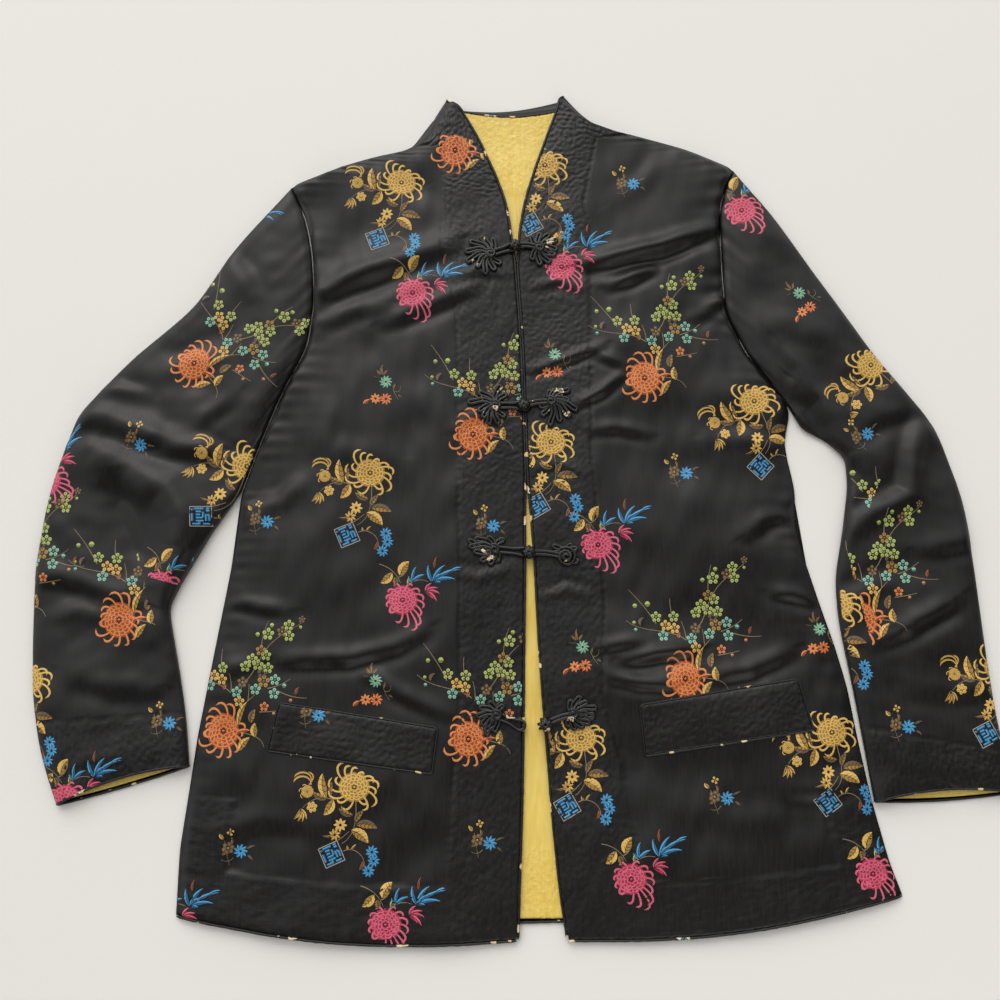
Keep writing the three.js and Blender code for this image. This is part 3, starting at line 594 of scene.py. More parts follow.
def sleeve_grid(rows, seam, creases, band, bows, seed):
    """A sleeve's rings of points, and the share of each that is quilted."""
    filled, places, _ = drawn(rows, SLEEVE_STEP, 15.0)
    outer, inner, share = filled[:, 0:2], filled[:, 2:4], filled[:, 4:5]
    width = np.hypot(*(inner - outer).T)[:, None]
    over = spread_out(SLEEVE_TOP, 0, 1, 0.4)
    back = spread_out(SLEEVE_UNDER + 2, 1, 0, 0.5)[1:-1]
    u = np.concatenate([over, back])[None, :]
    upper = (np.arange(u.shape[1]) < SLEEVE_TOP)[None, :]
    seam = seam[::-1, :2]
    walked = np.concatenate([[0], np.cumsum(np.hypot(*np.diff(seam, axis=0).T))])
    on_seam = np.stack([np.interp(u[0] * walked[-1], walked, column) for column in seam.T], 1)
    chord = outer[0] + (inner[0] - outer[0]) * u[0][:, None]
    away = np.array([inner[0][1] - outer[0][1], outer[0][0] - inner[0][0]])
    away *= math.copysign(SLEEVE_EASE, away[0] * rows[0][0]) / np.hypot(*away)
    extra = on_seam - chord + away
    x = outer[:, :1] + (inner - outer)[:, :1] * u + share * extra[:, 0]
    y = outer[:, 1:] + (inner - outer)[:, 1:] * u + share * extra[:, 1]

    along = np.repeat(places[:, None], u.shape[1], 1)
    left = places[-1] - along
    near_cuff = np.clip(1 - left / CUFF_CURVE, 0, 1) ** 2
    down = filled[-1, 0:4] - filled[-2, 0:4]
    down = (down[0:2] + down[2:4]) / np.hypot(*(down[0:2] + down[2:4]))
    bow = np.where(upper, bows[0], bows[1]) * np.sin(math.pi * u) ** 0.8 * near_cuff
    x, y = x - bow * down[0], y - bow * down[1]

    from_edge = np.minimum(u, 1 - u) * width
    corner = 7 + 0.03 * width
    turn = np.sqrt(1 - np.clip(1 - from_edge / corner, 0, 1) ** 2)
    height = SLEEVE_HEIGHT + 1.5 * np.sin(math.pi * u) + 0.9 * waves(x, y, 110, seed)
    height += 0.45 * waves(x, y, 42, seed + 1) + 0.12 * waves(x * 0.7, y, 16, seed + 2)
    for points, reach, rise, lean in creases:
        height += crease(x, y, points, reach, rise, lean)
    band_end = band[0] + (band[1] - band[0]) * u
    quilted, stitch_line = sewn(band_end - left)
    quilted = quilted * upper
    height += quilted * (puffed(x, y, seed) - 0.4) - STITCH_DENT * stitch_line
    height -= MOUTH_SINK * np.clip(1 - left / MOUTH_REACH, 0, 1) * np.sin(math.pi * u)
    at_head = np.exp(-((along / HEAD_REACH) ** 2))
    height = height * (1 - at_head) + HEAD_HEIGHT * at_head
    height += 0.5 * waves(u * width, u * 0, 15, seed + 5) * np.exp(-along / 16)
    height -= HEAD_DENT * np.exp(-((along / 3.4) ** 2))
    height = np.maximum(height, SLEEVE_LEAST)
    z = np.where(upper, SLEEVE_MIDDLE + (height - SLEEVE_MIDDLE) * turn, SLEEVE_MIDDLE * (1 - turn))
    ring = np.stack([x, y, z], 2)
    tuck = ring[:1] * 1.0
    tuck[:, :, 2] = np.minimum(tuck[:, :, 2], TUCK_HEIGHT)
    return np.concatenate([tuck, ring]), np.concatenate([quilted[:1], quilted * np.ones_like(x)])


def inward(ring, depth):
    """A ring grid moved towards the middle of the tube."""
    round_step = np.roll(ring, -1, 1) - np.roll(ring, 1, 1)
    along_step = np.gradient(ring, axis=0)
    out = np.cross(round_step, along_step)
    out /= np.maximum(np.linalg.norm(out, axis=2, keepdims=True), 1e-9)
    middle = ring.mean(1, keepdims=True)
    if ((ring - middle) * out).sum() < 0:
        out = -out
    return ring - depth * out


sleeves = {}
for name, rows, front, creases, band, bows, flat, area in (
    ("right_sleeve", RIGHT_SLEEVE_ROWS, right_front, RIGHT_SLEEVE_CREASES, (75, 60), (7, -1.5),
     (0.33, 0.58), 0.150),
    ("left_sleeve", LEFT_SLEEVE_ROWS, left_front, LEFT_SLEEVE_CREASES, (57, 66), (7, -3),
     (0.30, 0.56), 0.129),
):
    ring, quilted = sleeve_grid(rows, front["armhole"], creases, band, bows, len(rows) * 9)
    faces = grid_faces(ring.shape[0], ring.shape[1], 0, True)
    made = piece(f"cloth_{name}", ring.reshape(-1, 3), faces, [brocade], [name],
                 quilted=quilted)
    deep = int(CUFF_LINING_DEPTH / SLEEVE_STEP)
    inner = inward(ring[-deep - 2 :], CUFF_WALL)[:-1]
    inner[:, :, 2] += 0.35 * puffed(inner[:, :, 0], inner[:, :, 1], 5) - 0.1
    inner[:, :, 2] = np.maximum(inner[:, :, 2], 0.5)
    faces = grid_faces(inner.shape[0], inner.shape[1], 0, True)
    lined = piece(f"cloth_{name}_lining", inner.reshape(-1, 3), faces, [lining_satin],
                  [name.replace("sleeve", "cuff_lining")], quilted=np.ones(inner[:, :, 0].size))
    sleeves[name] = ring

# The pipings: bias strips of the same satin over a cord. They edge the fronts from the hem to
# the collar, the top of the collar, the hem and the cuffs.
FLECKS = (  # place in the noise, colour
    (0.0, BLACK), (1.0, BLACK), (0.655, (0.75, 0.55, 0.26)), (0.69, (0.80, 0.72, 0.60)),
    (0.72, BLACK), (0.74, (0.10, 0.34, 0.36)), (0.76, BLACK),
)


def flecked_look(name, roughness, specular, spacing, twist_pitch):
    """Satin cut on the bias, so that stray pattern threads fleck the black."""
    look, shader = new_look(name, roughness, 0.0, specular)
    slant = node(look, "Mapping", Vector=node(look, "TexCoord", "Object"), Rotation=(0, 0, 0.7))
    spots = node(look, "TexNoise", "Fac", Vector=slant, Scale=spacing, Detail=2.0)
    twist = node(look, "TexWave", "Fac", Vector=slant, Scale=twist_pitch, Distortion=0.5)
    twist = node(look, "Bump", Strength=0.4, Distance=0.0002, Height=twist)
    feed(shader, Base_Color=ramp(look, spots, FLECKS, "CONSTANT"), Normal=twist)
    return look


piping_look = flecked_look("piping_satin", 0.42, 0.5, 70.0, 520.0)


def tube(path, radius, sides=8, closed=False):
    """Points and faces of a cord along a path, its ends drawn in to a point."""
    path = np.asarray(path, float)
    if closed:
        ahead, behind = np.roll(path, -1, 0), np.roll(path, 1, 0)
    else:
        ahead = np.concatenate([path[1:], path[-1:]])
        behind = np.concatenate([path[:1], path[:-1]])
    way = ahead - behind
    way /= np.maximum(np.linalg.norm(way, axis=1, keepdims=True), 1e-9)
    flat_side = np.stack([way[:, 1], -way[:, 0], 0 * way[:, 0]], 1)
    flat_side += np.array([1e-6, 0, 0])
    flat_side /= np.linalg.norm(flat_side, axis=1, keepdims=True)
    rise = np.cross(flat_side, way)
    radius = np.broadcast_to(np.asarray(radius, float), (len(path),)).copy()
    if not closed:
        radius[0] *= 0.35
        radius[-1] *= 0.35
    turn = np.linspace(0, 2 * math.pi, sides, endpoint=False)
    cosine, sine = np.cos(turn)[None, :, None], np.sin(turn)[None, :, None]
    rings = cosine * flat_side[:, None] + sine * rise[:, None]
    points = (path[:, None] + radius[:, None, None] * rings).reshape(-1, 3)
    faces = grid_faces(len(path), sides, 0, True)
    if closed:
        last = (len(path) - 1) * sides
        k = np.arange(sides)
        ahead = (k + 1) % sides
        faces = np.concatenate([faces, np.stack([last + k, last + ahead, ahead, k], 1)])
    return points, faces


def spaced(path, step):
    """A path with its points a step apart."""
    path = np.asarray(path, float)
    walked = np.concatenate([[0], np.cumsum(np.linalg.norm(np.diff(path, axis=0), axis=1))])
    places = np.linspace(0, walked[-1], max(int(walked[-1] / step), 3))
    return np.stack([np.interp(places, walked, column) for column in path.T], 1)


def beside(path, distance, drop=0.0):
    """A path moved sideways in plan, to its right, and down."""
    way = np.gradient(path, axis=0)
    way /= np.maximum(np.hypot(way[:, 0], way[:, 1]), 1e-9)[:, None]
    return path + np.stack([distance * way[:, 1], -distance * way[:, 0], 0 * way[:, 0] - drop], 1)


def piping(name, path, cad, radius=PIPING):
    path = spaced(path, 2.2)
    path[:, 2] = smoothed(path[:, 2:3], 2.0)[:, 0]
    path[:, 2] = np.maximum(path[:, 2], 1.2 * radius)
    thick = radius * (1 + 0.06 * waves(np.arange(len(path)) * 2.2, np.zeros(len(path)), 9, 4))
    points, faces = tube(path, thick)
    return piece(name, points, faces, [piping_look], [cad])


for name, front, way in (("right", right_front, 1), ("left", left_front, -1)):
    outside = beside(front["edge"], way * (PIPING + 0.1), 0.9)
    across = front["top"][-1].copy()
    across[:, 1] += 0.9
    across[:, 2] -= 0.5
    whole = np.concatenate([outside, across[::-1][2:]])
    whole = smoothed(spaced(whole, 1.5), 2.0)
    piping(f"{name}_front_edging", whole, f"{name}_front_piping")
    hem = front["hem"].copy()
    hem[:, 1] -= PIPING
    hem[:, 2] = np.maximum(hem[:, 2] - 0.6, 1.6)
    piping(f"{name}_hem_edging", hem, f"{name}_hem_piping")
hem = back_top[0].copy()
hem[:, 1] -= PIPING
piping("back_hem_edging", hem, "back_hem_piping")
collar = lining_top[-1].copy()
collar[:, 1] += 0.9
collar[:, 2] -= 0.2
piping("back_collar_edging", collar, "back_collar_piping", 1.0)
for name, ring in sleeves.items():
    side = name.split("_")[0]
    mouth = ring[-1]
    upper, under = mouth[:SLEEVE_TOP], np.concatenate([mouth[SLEEVE_TOP - 1 :], mouth[:1]])
    piping(f"{side}_cuff_edging", upper - [0, 0, 0.6], f"{side}_cuff_piping")
    piping(f"{side}_cuff_under_edging", under + [0, 0, 0.2], f"{side}_cuff_under_piping")

# The pocket welts: quilted strips of the brocade, piped all round and stitched over the mouths
# of the pockets.
WELT_RISE = 1.3
WELT_WALL = 1.2
WELT_PIPING = 0.95
WELTS = {  # mouth's right end, mouth's left end, foot's left end, foot's right end
    "right": ((-212, -187), (-71, -209), (-76, -249), (-222, -229)),
    "left": ((108, -189), (250, -166), (262, -211), (113, -234)),
}


def surface_tree(grid, joined=False):
    """A search tree of a grid's upper face, to lay things on it."""
    rows, columns = grid.shape[:2]
    faces = grid_faces(rows, columns, 0, joined)
    return BVHTree.FromPolygons(grid.reshape(-1, 3).tolist(), faces.tolist())


def heights(tree, x, y, missing=np.nan):
    """The height of a surface at points in plan."""
    up, down = 60.0, Vector((0, 0, -1))
    found = np.full(np.size(x), missing, float)
    for i, (px, py) in enumerate(zip(np.ravel(x), np.ravel(y))):
        hit = tree.ray_cast((px, py, up), down)[0]
        if hit is not None:
            found[i] = hit[2]
    return found.reshape(np.shape(x))


trees = {
    "right_front": surface_tree(right_front["top"]), "left_front": surface_tree(left_front["top"]),
    "right_sleeve": surface_tree(sleeves["right_sleeve"][1:, : SLEEVE_TOP + 2]),
    "left_sleeve": surface_tree(sleeves["left_sleeve"][1:, : SLEEVE_TOP + 2]),
}
welt_grids = {}
for side, corners in WELTS.items():
    a, b, c, d = (np.array(corner, float) for corner in corners)
    u, v = np.meshgrid(np.linspace(0, 1, 96), np.linspace(0, 1, 34))
    u, v = u[:, :, None], v[:, :, None]
    plan = (a * (1 - u) + b * u) * (1 - v) + (d * (1 - u) + c * u) * v
    x, y = plan[:, :, 0], plan[:, :, 1]
    cloth = heights(trees[f"{side}_front"], x, y, 6.0)
    cloth = smoothed(smoothed(cloth, 2.0).T, 3.0).T
    length, depth = np.hypot(*(b - a)), np.hypot(*(d - a))
    u, v = u[:, :, 0], v[:, :, 0]
    rim = np.minimum(np.minimum(u, 1 - u) * length, np.minimum(v, 1 - v) * depth)
    z = cloth + WELT_RISE * (1 - np.exp(-rim / 1.2))
    z += (0.75 * puffed(x * 1.25, y * 0.75, 12) - 0.1) * (rim > 1)
    top = np.stack([x, y, z], 2)
    under = np.stack([x, y, z - WELT_WALL], 2)
    points, faces = shell(top, under)
    made = piece(f"cloth_{side}_welt", points, faces, [brocade], [f"{side}_welt"],
                 quilted=np.ones(len(points)))
    welt_grids[side] = top
    rim_path = np.concatenate([top[:, 0][::-1], top[0][1:], top[:, -1][1:], top[-1][::-1][1:-1]])
    rim_path = spaced(np.concatenate([rim_path, rim_path[:1]]), 1.4)
    rim_path = np.stack([np.convolve(np.tile(c, 3), np.ones(5) / 5, "same") for c in rim_path.T], 1)
    rim_path = rim_path[len(rim_path) // 3 : 2 * len(rim_path) // 3]
    rim_path[:, 2] += 0.55
    points, faces = tube(rim_path, WELT_PIPING, 8, True)
    piece(f"{side}_welt_edging", points, faces, [piping_look], [f"{side}_welt_piping"])
    trees[f"{side}_welt"] = surface_tree(top)

# The four frogs: a flower of looped cord on each front, sewn down at its middle, with a ball
# knot on the left one's stem and a loop on the right one to button over it. The cords are bias
# strips of the brocade, so stray pattern threads fleck the black.
CORD = 1.6  # radius
BALL_LEAN = 0.34  # how far a ball's turns pass beside its middle
BALL_SQUASH = 0.84
BUTTON_HEIGHT = 7.0  # least height of a button loop
STEM_HEIGHT = 7.8
STEM_COUNT = 26
cord_look = flecked_look("frog_cord", 0.36, 0.6, 95.0, 330.0)

both = np.concatenate([right_front["top"].reshape(-1, 3), left_front["top"].reshape(-1, 3)])
both_faces = np.concatenate([
    grid_faces(*right_front["top"].shape[:2]),
    grid_faces(*left_front["top"].shape[:2], right_front["top"][:, :, 0].size),
])
both_fronts = BVHTree.FromPolygons(both.tolist(), both_faces.tolist())


def on_cloth(plan, rise, bare=6.0):
    """A path in plan laid on the fronts, its middle line a rise above them."""
    plan = np.asarray(plan, float)
    z = heights(both_fronts, plan[:, 0], plan[:, 1], bare)
    z = smoothed(z[:, None], 2.0)[:, 0]
    return np.column_stack([plan, z + rise])


def hairpin(x, y, degrees, reach, bend, spread=1.8, count=40, sway=9):
    """A loop of cord out from a flower's middle and back. It sways a little, and its tip is
    swept round by the bend."""
    straight = reach - CORD - spread
    share = np.linspace(0, 1, count)
    leg = 0.38
    out = np.clip(np.minimum(share, 1 - share) / leg, 0, 1) * straight
    turn = math.pi * np.clip((share - leg) / (1 - 2 * leg), 0, 1)
    out = out + spread * np.sin(turn)
    off = spread * np.cos(turn) * (0.45 + 0.55 * np.clip(out / (0.5 * reach), 0, 1))
    share = out / reach
    way = math.radians(degrees) + math.radians(1.5 * bend) * share**2
    way = way + math.radians(sway) * math.copysign(1, -bend) * np.sin(2 * math.pi * share) * 0.6
    cosine, sine = np.cos(way), np.sin(way)
    return np.stack([x + out * cosine - off * sine, y + out * sine + off * cosine], 1), share


def coil(x, y, reach, turns):
    """A cord wound round and round from the middle."""
    turn = np.linspace(0, 2 * math.pi * turns, int(26 * turns))
    out = 1.2 + (reach - 1.2) * turn / turn[-1]
    return np.stack([x + out * np.cos(turn), y + out * np.sin(turn)], 1), 1 - 0.4 * out / reach


def corded(name, lengths, cad):
    """A piece made of one or more lengths of cord."""
    points, faces, start = [], [], 0
    for some_points, some_faces in lengths:
        points.append(some_points)
        faces.append(some_faces + start)
        start += len(some_points)
    piece(name, np.concatenate(points), np.concatenate(faces), [cord_look], [cad])


def flower(name, x, y, loops, winding, cad):
    """Hairpin loops round a middle, each over or under the next, with a winding on top."""
    lengths = []
    for k, (degrees, reach, bend) in enumerate(loops):
        plan, share = hairpin(x, y, degrees, reach, bend)
        path = on_cloth(plan, CORD * 0.8)
        path[:, 2] += 1.5 * np.exp(-((share / 0.3) ** 2)) + 0.5 * (k % 2) * (1 - share) + 0.25
        lengths.append(tube(path, CORD))
    for reach, turns, rise in winding:
        plan, share = coil(x, y, reach, turns)
        path = on_cloth(plan, CORD * 0.8 + rise)
        path[:, 2] += 1.6 * share
        lengths.append(tube(path, CORD))
    corded(name, lengths, cad)


def ball(x, y, z, reach):
    """A ball knot: cords that pass over and under each other round a core."""
    lengths, turn = [], np.linspace(0, 2 * math.pi, 40, endpoint=False)
    for k in range(4):
        spin = math.pi * k / 4 + 0.3
        for lean in (-BALL_LEAN, BALL_LEAN):
            weave = reach - CORD * 0.85 + 0.45 * np.cos(4 * turn + k * math.pi + lean)
            flat_x, flat_y = weave * np.cos(turn), lean * reach * 0.9
            path = [x + flat_x * math.cos(spin) - flat_y * math.sin(spin),
                    y + flat_x * math.sin(spin) + flat_y * math.cos(spin),
                    z + BALL_SQUASH * math.sqrt(1 - lean**2) * weave * np.sin(turn)]
            lengths.append(tube(np.stack(path, 1), CORD * 0.92, 7, True))
    return lengths


WINDING, SPIRAL = [(4.6, 1.4, 1.4)], [(9.0, 2.4, 0.6), (4.4, 1.2, 2.6)]  # reach, turns, rise
FROGS = [  # right flower, its loops; left flower, its loops, its winding; knot, its reach; open tip
    ((-25, 229), [(178, 25, 14), (153, 25, 14), (126, 24, 14), (97, 20, 14), (62, 17, 12),
         (206, 20, 14), (236, 22, 14), (266, 18, 12), (300, 15, 10)],
     (21, 235), [(14, 18, -12), (44, 20, -12), (74, 18, -12), (106, 16, -12), (140, 15, -10),
         (222, 15, 10), (254, 18, 12), (286, 19, 12), (318, 18, 12), (346, 17, -8)],
     WINDING, (-2, 237), 5.4, None),
    ((-20, 83), [(152, 27, 14), (122, 21, 12), (96, 21, -12), (66, 16, -12), (180, 18, 12),
         (206, 18, 12), (232, 20, 12), (260, 19, 12), (290, 15, 12)],
     (31, 87), [(54, 22, -14), (84, 14, -12), (112, 12, -10), (22, 18, -12), (0, 27, -12),
         (-24, 24, -10), (-49, 22, -10), (-74, 24, -12), (-104, 17, -12), (-136, 13, -12)],
     WINDING, (6, 83), 5.4, None),
    ((-21, -50), [(130, 21, 14), (156, 24, 12), (180, 26, -12), (208, 20, -14), (240, 18, -12),
         (98, 14, 12), (66, 14, -12), (272, 16, -12), (304, 13, -10)],
     (44, -57), [(118, 17, 14), (150, 16, 12), (88, 14, -14), (60, 14, -12), (-40, 13, 12)],
     SPIRAL, (10, -53), 5.8, None),
    ((-19, -198), [(134, 18, 14), (164, 19, 12), (194, 17, 12), (224, 21, 12), (252, 19, -12),
         (280, 16, -12), (104, 15, 10), (72, 12, -10)],
     (49, -197), [(88, 18, -14), (60, 18, -12), (34, 23, -12), (8, 20, -12), (-18, 20, 10),
         (-44, 18, 10), (-72, 16, 12), (-104, 15, 12), (-134, 13, 12), (118, 14, -12)],
     WINDING, (24, -206), 6.4, (7, -209)),
]
for number, frog in enumerate(FROGS, 1):
    right, right_loops, left, left_loops, winding, knot, size, open_tip = frog
    frog = f"frog_{number}"
    flower(f"{frog}_right_cords", *right, right_loops, WINDING, f"{frog}_right_flower")
    flower(f"{frog}_left_cords", *left, left_loops, winding, f"{frog}_left_flower")
    knot_z = heights(both_fronts, *knot, 6.0) + size * 0.8
    corded(f"{frog}_ball", ball(*knot, knot_z, size), f"{frog}_knot")
    stem, share = [], np.linspace(0, 1, STEM_COUNT)
    for side in (-1, 1):
        way = np.array(knot, float) - left
        across = side * CORD * 0.98 * np.array([-way[1], way[0]]) / np.hypot(*way)
        plan = np.array(left) + way * np.linspace(0.08, 0.96, STEM_COUNT)[:, None] + across
        plan[:, 1] += 1.2 * np.sin(math.pi * share)
        path = on_cloth(plan, CORD)
        low = np.maximum(path[:, 2] + 1.3, STEM_HEIGHT)
        path[:, 2] = low * (1 - share**3) + (knot_z - 0.6) * share**3
        stem.append(tube(path, CORD))
    corded(f"{frog}_stem_cords", stem, f"{frog}_stem")
    way = np.array(open_tip or knot, float) - right
    far = np.hypot(*way) + (0 if open_tip else size + CORD)
    heading = math.degrees(math.atan2(way[1], way[0]))
    plan, share = hairpin(*right, heading, far, 0, size * 0.5 + CORD, 44, 0)
    way /= np.hypot(*way)
    middle = np.array(right) + (plan - right) @ way[:, None] * way
    pinch = 1 - 0.45 * np.exp(-(((share - 0.45) / 0.28) ** 2))
    path = on_cloth(middle + (plan - middle) * pinch[:, None], CORD * 0.9)
    path[:, 2] = np.maximum(path[:, 2] + 0.9, BUTTON_HEIGHT)
    corded(f"{frog}_button_loop", [tube(path, CORD)], f"{frog}_loop")

# The woven sprays: silk threads that float on the satin. The pattern repeats 216 mm across the
# cloth and 280 mm along it: a gold chrysanthemum over a lattice diamond, a crimson one with
# bamboo leaves, an orange one with plum blossom, and two small sprigs.
THREADS = {
    "gold": (0.76, 0.48, 0.12), "ochre": (0.40, 0.225, 0.045), "bronze": (0.165, 0.105, 0.055),
    "apricot": (0.74, 0.25, 0.075), "orange": (0.42, 0.070, 0.012), "rose": (0.70, 0.13, 0.20),
    "crimson": (0.46, 0.022, 0.075), "sky": (0.09, 0.37, 0.62), "blue": (0.02, 0.15, 0.34),
    "lime": (0.46, 0.52, 0.15), "moss": (0.17, 0.26, 0.045), "jade": (0.27, 0.52, 0.38),
    "pine": (0.05, 0.20, 0.14), "silver": (0.40, 0.37, 0.31), "straw": (0.26, 0.19, 0.10),
    "shade": (0.004, 0.004, 0.006),
}
thread_names = list(THREADS)
thread_looks = []
for name, colour in THREADS.items():
    look, shader = new_look(f"thread_{name}", 0.5, 0.1, 0.4)
    floats = node(look, "TexWave", "Fac", Vector=node(look, "TexCoord", "Object"), Scale=420.0,
                  Distortion=0.8, Detail=1.0)
    floats = node(look, "Bump", Strength=0.3, Distance=0.0001, Height=floats)
    feed(shader, Base_Color=(*colour, 1), Normal=floats)
    thread_looks.append(look)

SHADES = ("shade",) * 2
LEAF_BEND = 0.1  # how far a leaf bows to its left, as a share of its length
PLUM_TURN = 18.0
TIPS = {  # how wide a stroke is along its length
    "hook": lambda s: (0.42 + 0.58 * s) * np.sqrt(np.clip(1 - s**7, 0, 1)) + 0.02,
    "leaf": lambda s: np.sin(math.pi * np.clip(s, 0.015, 0.985) ** 0.85) ** 0.75,
    "dot": lambda s: np.sqrt(np.clip(1 - (2 * s - 1) ** 2, 0.004, 1)),
    "twig": lambda s: 1 - 0.45 * s,
    "bar": lambda s: np.ones_like(s),
}


def stroke(points, width, shape, threads, lift=1.0, count=7):
    """One float of thread through a few points: its line, half widths, two threads, height."""
    points = np.array(points, float)
    steps = np.hypot(*np.diff(points, axis=0).T)
    at = np.concatenate([[0], np.cumsum(steps)]) / steps.sum()
    share = np.linspace(0, 1, count)
    degree = len(points) - 1
    line = np.stack([np.polyval(np.polyfit(at, column, degree), share) for column in points.T], 1)
    return line, width / 2 * TIPS[shape](share), threads, lift


def polar(x, y, reach, degrees):
    return x + reach * math.cos(math.radians(degrees)), y + reach * math.sin(math.radians(degrees))


def dot(threads, x, y, width, lift=1.0):
    return [stroke([(x - width / 2, y), (x + width / 2, y)], width, "dot", threads, lift, 6)]


def leaf(threads, ax, ay, bx, by, width, veins=3):
    """A leaf from its base to its tip, with a dark midrib and pairs of dark veins."""
    def beside(share, off):
        return ax + (bx - ax) * share - (by - ay) * off, ay + (by - ay) * share + (bx - ax) * off

    middle = beside(0.5, LEAF_BEND)
    made = [stroke([(ax, ay), middle, (bx, by)], width, "leaf", threads),
            stroke([(ax, ay), middle, beside(0.9, 0)], 0.42, "twig", SHADES, 1.7, 5)]
    for k in range(veins):
        share = (k + 1) / (veins + 1.3)
        for side in (1, -1):
            vein = [beside(share, 0), beside(share + 0.16, -0.22 * side)]
            made.append(stroke(vein, 0.38, "twig", SHADES, 1.7, 3))
    return made


def twigs(*lines, width=0.8):
    return [stroke(line, width, "twig", ("straw",) * 2, 0.8, 3 * len(line)) for line in lines]


def daisy(threads, x, y, reach, petals=9, turn=0.0):
    made = dot(SHADES, x, y, reach * 0.3, 1.5)
    for k in range(petals):
        degrees = turn + 360 * k / petals
        petal = [polar(x, y, reach * 0.18, degrees), polar(x, y, reach, degrees)]
        made.append(stroke(petal, reach * 0.42, "leaf", threads, 1.2, 5))
    return made


def plum(threads, x, y, reach=3.3, petals=5):
    light, deep = (threads[0],) * 2, (threads[1],) * 2
    made = dot(deep, x, y, reach * 0.62, 0.8)
    for k in range(petals):
        place = polar(x, y, reach, PLUM_TURN + 360 * k / petals)
        made += dot(light, *place, reach * 1.02, 1.1) + dot(deep, *place, reach * 0.3, 1.6)
    return made


def several(draw, threads, *items):
    """The same thing in the same threads, at each of the given places and sizes."""
    return [made for item in items for made in draw(threads, *item)]


def fan(threads, base, *tips):
    """Narrow leaves from one base. Each tip is given with the leaf's width."""
    return several(leaf, threads, *((*base, *tip, 0) for tip in tips))


def mum(x, y, reach, hooks, light, deep, squash=1.0, seed=1):
    """A chrysanthemum: long hooked petals round a ball of incurved ones."""
    rng = np.random.default_rng(seed)
    made = []
    for degrees, far, curl in hooks:
        line = [polar(x, y, reach * r, degrees + curl * c) for r, c in
                ((0.7, 0), (0.45 + 0.52 * far, 0.1), (0.08 + 0.95 * far, 0.4), (0.98 * far, 0.95))]
        made.append(stroke(line, reach * 0.2, "hook", (light, light), 1.0, 10))
    for ring, (r, count) in enumerate(((0.98, 15), (0.76, 12), (0.53, 9), (0.3, 6))):
        for k in range(count):
            degrees = 360 * (k + 0.5 * (ring % 2)) / count + rng.uniform(-6, 6)
            spread = 160 / count
            line = [polar(x, y, reach * r * q, degrees + d * spread)
                    for q, d in ((0.66, -1.1), (1.04, -0.4), (1.06, 0.7), (0.72, 1.3))]
            line = [(px, y + (py - y) * squash) for px, py in line]
            made.append(stroke(line, reach * 0.36, "bar", (deep, deep), 0.2 + 0.25 * ring, 6))
            made.append(stroke(line, reach * 0.13, "hook", (light, light), 1.4, 7))
    return made + dot((light, deep), x, y, reach * 0.2, 2.2)


GOLD, GOLDS, OCHRES = ("gold", "ochre"), ("gold",) * 2, ("ochre", "bronze")
BLUES, SKIES, GREENS = ("sky", "blue"), ("sky",) * 2, ("lime", "moss")
JADES, LIMES, BROWNS = ("jade", "pine"), ("lime", "jade"), ("bronze", "ochre")
DARKS, RUSTS, REDS = ("bronze", "shade"), ("orange", "bronze"), ("rose", "crimson")
ORANGES, TAWNIES = ("apricot", "orange"), ("orange", "ochre")
AMBERS, APRICOTS = ("apricot", "bronze"), ("apricot",) * 2
# The hooked petals of the three chrysanthemums: degrees, length over the ball's, curl.
GOLD_HOOKS = [
    (150, 2, -38), (132, 1.6, -30), (108, 1.4, -26), (78, 1.2, -26), (48, 1.5, -36),
    (28, 1.8, -32), (6, 1.65, -26), (-14, 2, -34), (-42, 1.85, -28), (-66, 1.5, 26),
    (-92, 1.75, -32), (-118, 1.55, -28), (-138, 1.9, -40), (-160, 1.9, -42), (178, 1.5, -28),
]
CRIMSON_HOOKS = [
    (-18, 1.8, -28), (-36, 2.3, -26), (-50, 2.5, -22), (-66, 2.1, -20), (-84, 1.75, -22),
    (4, 1.7, -26), (28, 1.6, -30), (52, 1.45, -28), (80, 1.35, -24), (106, 1.35, 24),
    (134, 1.3, 26), (160, 1.25, 24), (188, 1.25, 24), (214, 1.25, 22), (242, 1.3, -24),
]
ORANGE_HOOKS = [
    (58, 1.95, 34), (80, 2, 36), (104, 1.8, 34), (128, 1.5, 30), (32, 1.6, -26), (8, 1.4, -24),
    (-16, 1.5, -22), (-40, 1.8, -18), (-62, 1.95, -16), (-84, 1.9, -18), (-106, 1.8, -26),
    (-128, 1.9, -34), (-152, 1.4, -28), (176, 1.3, 24), (152, 1.3, 26),
]

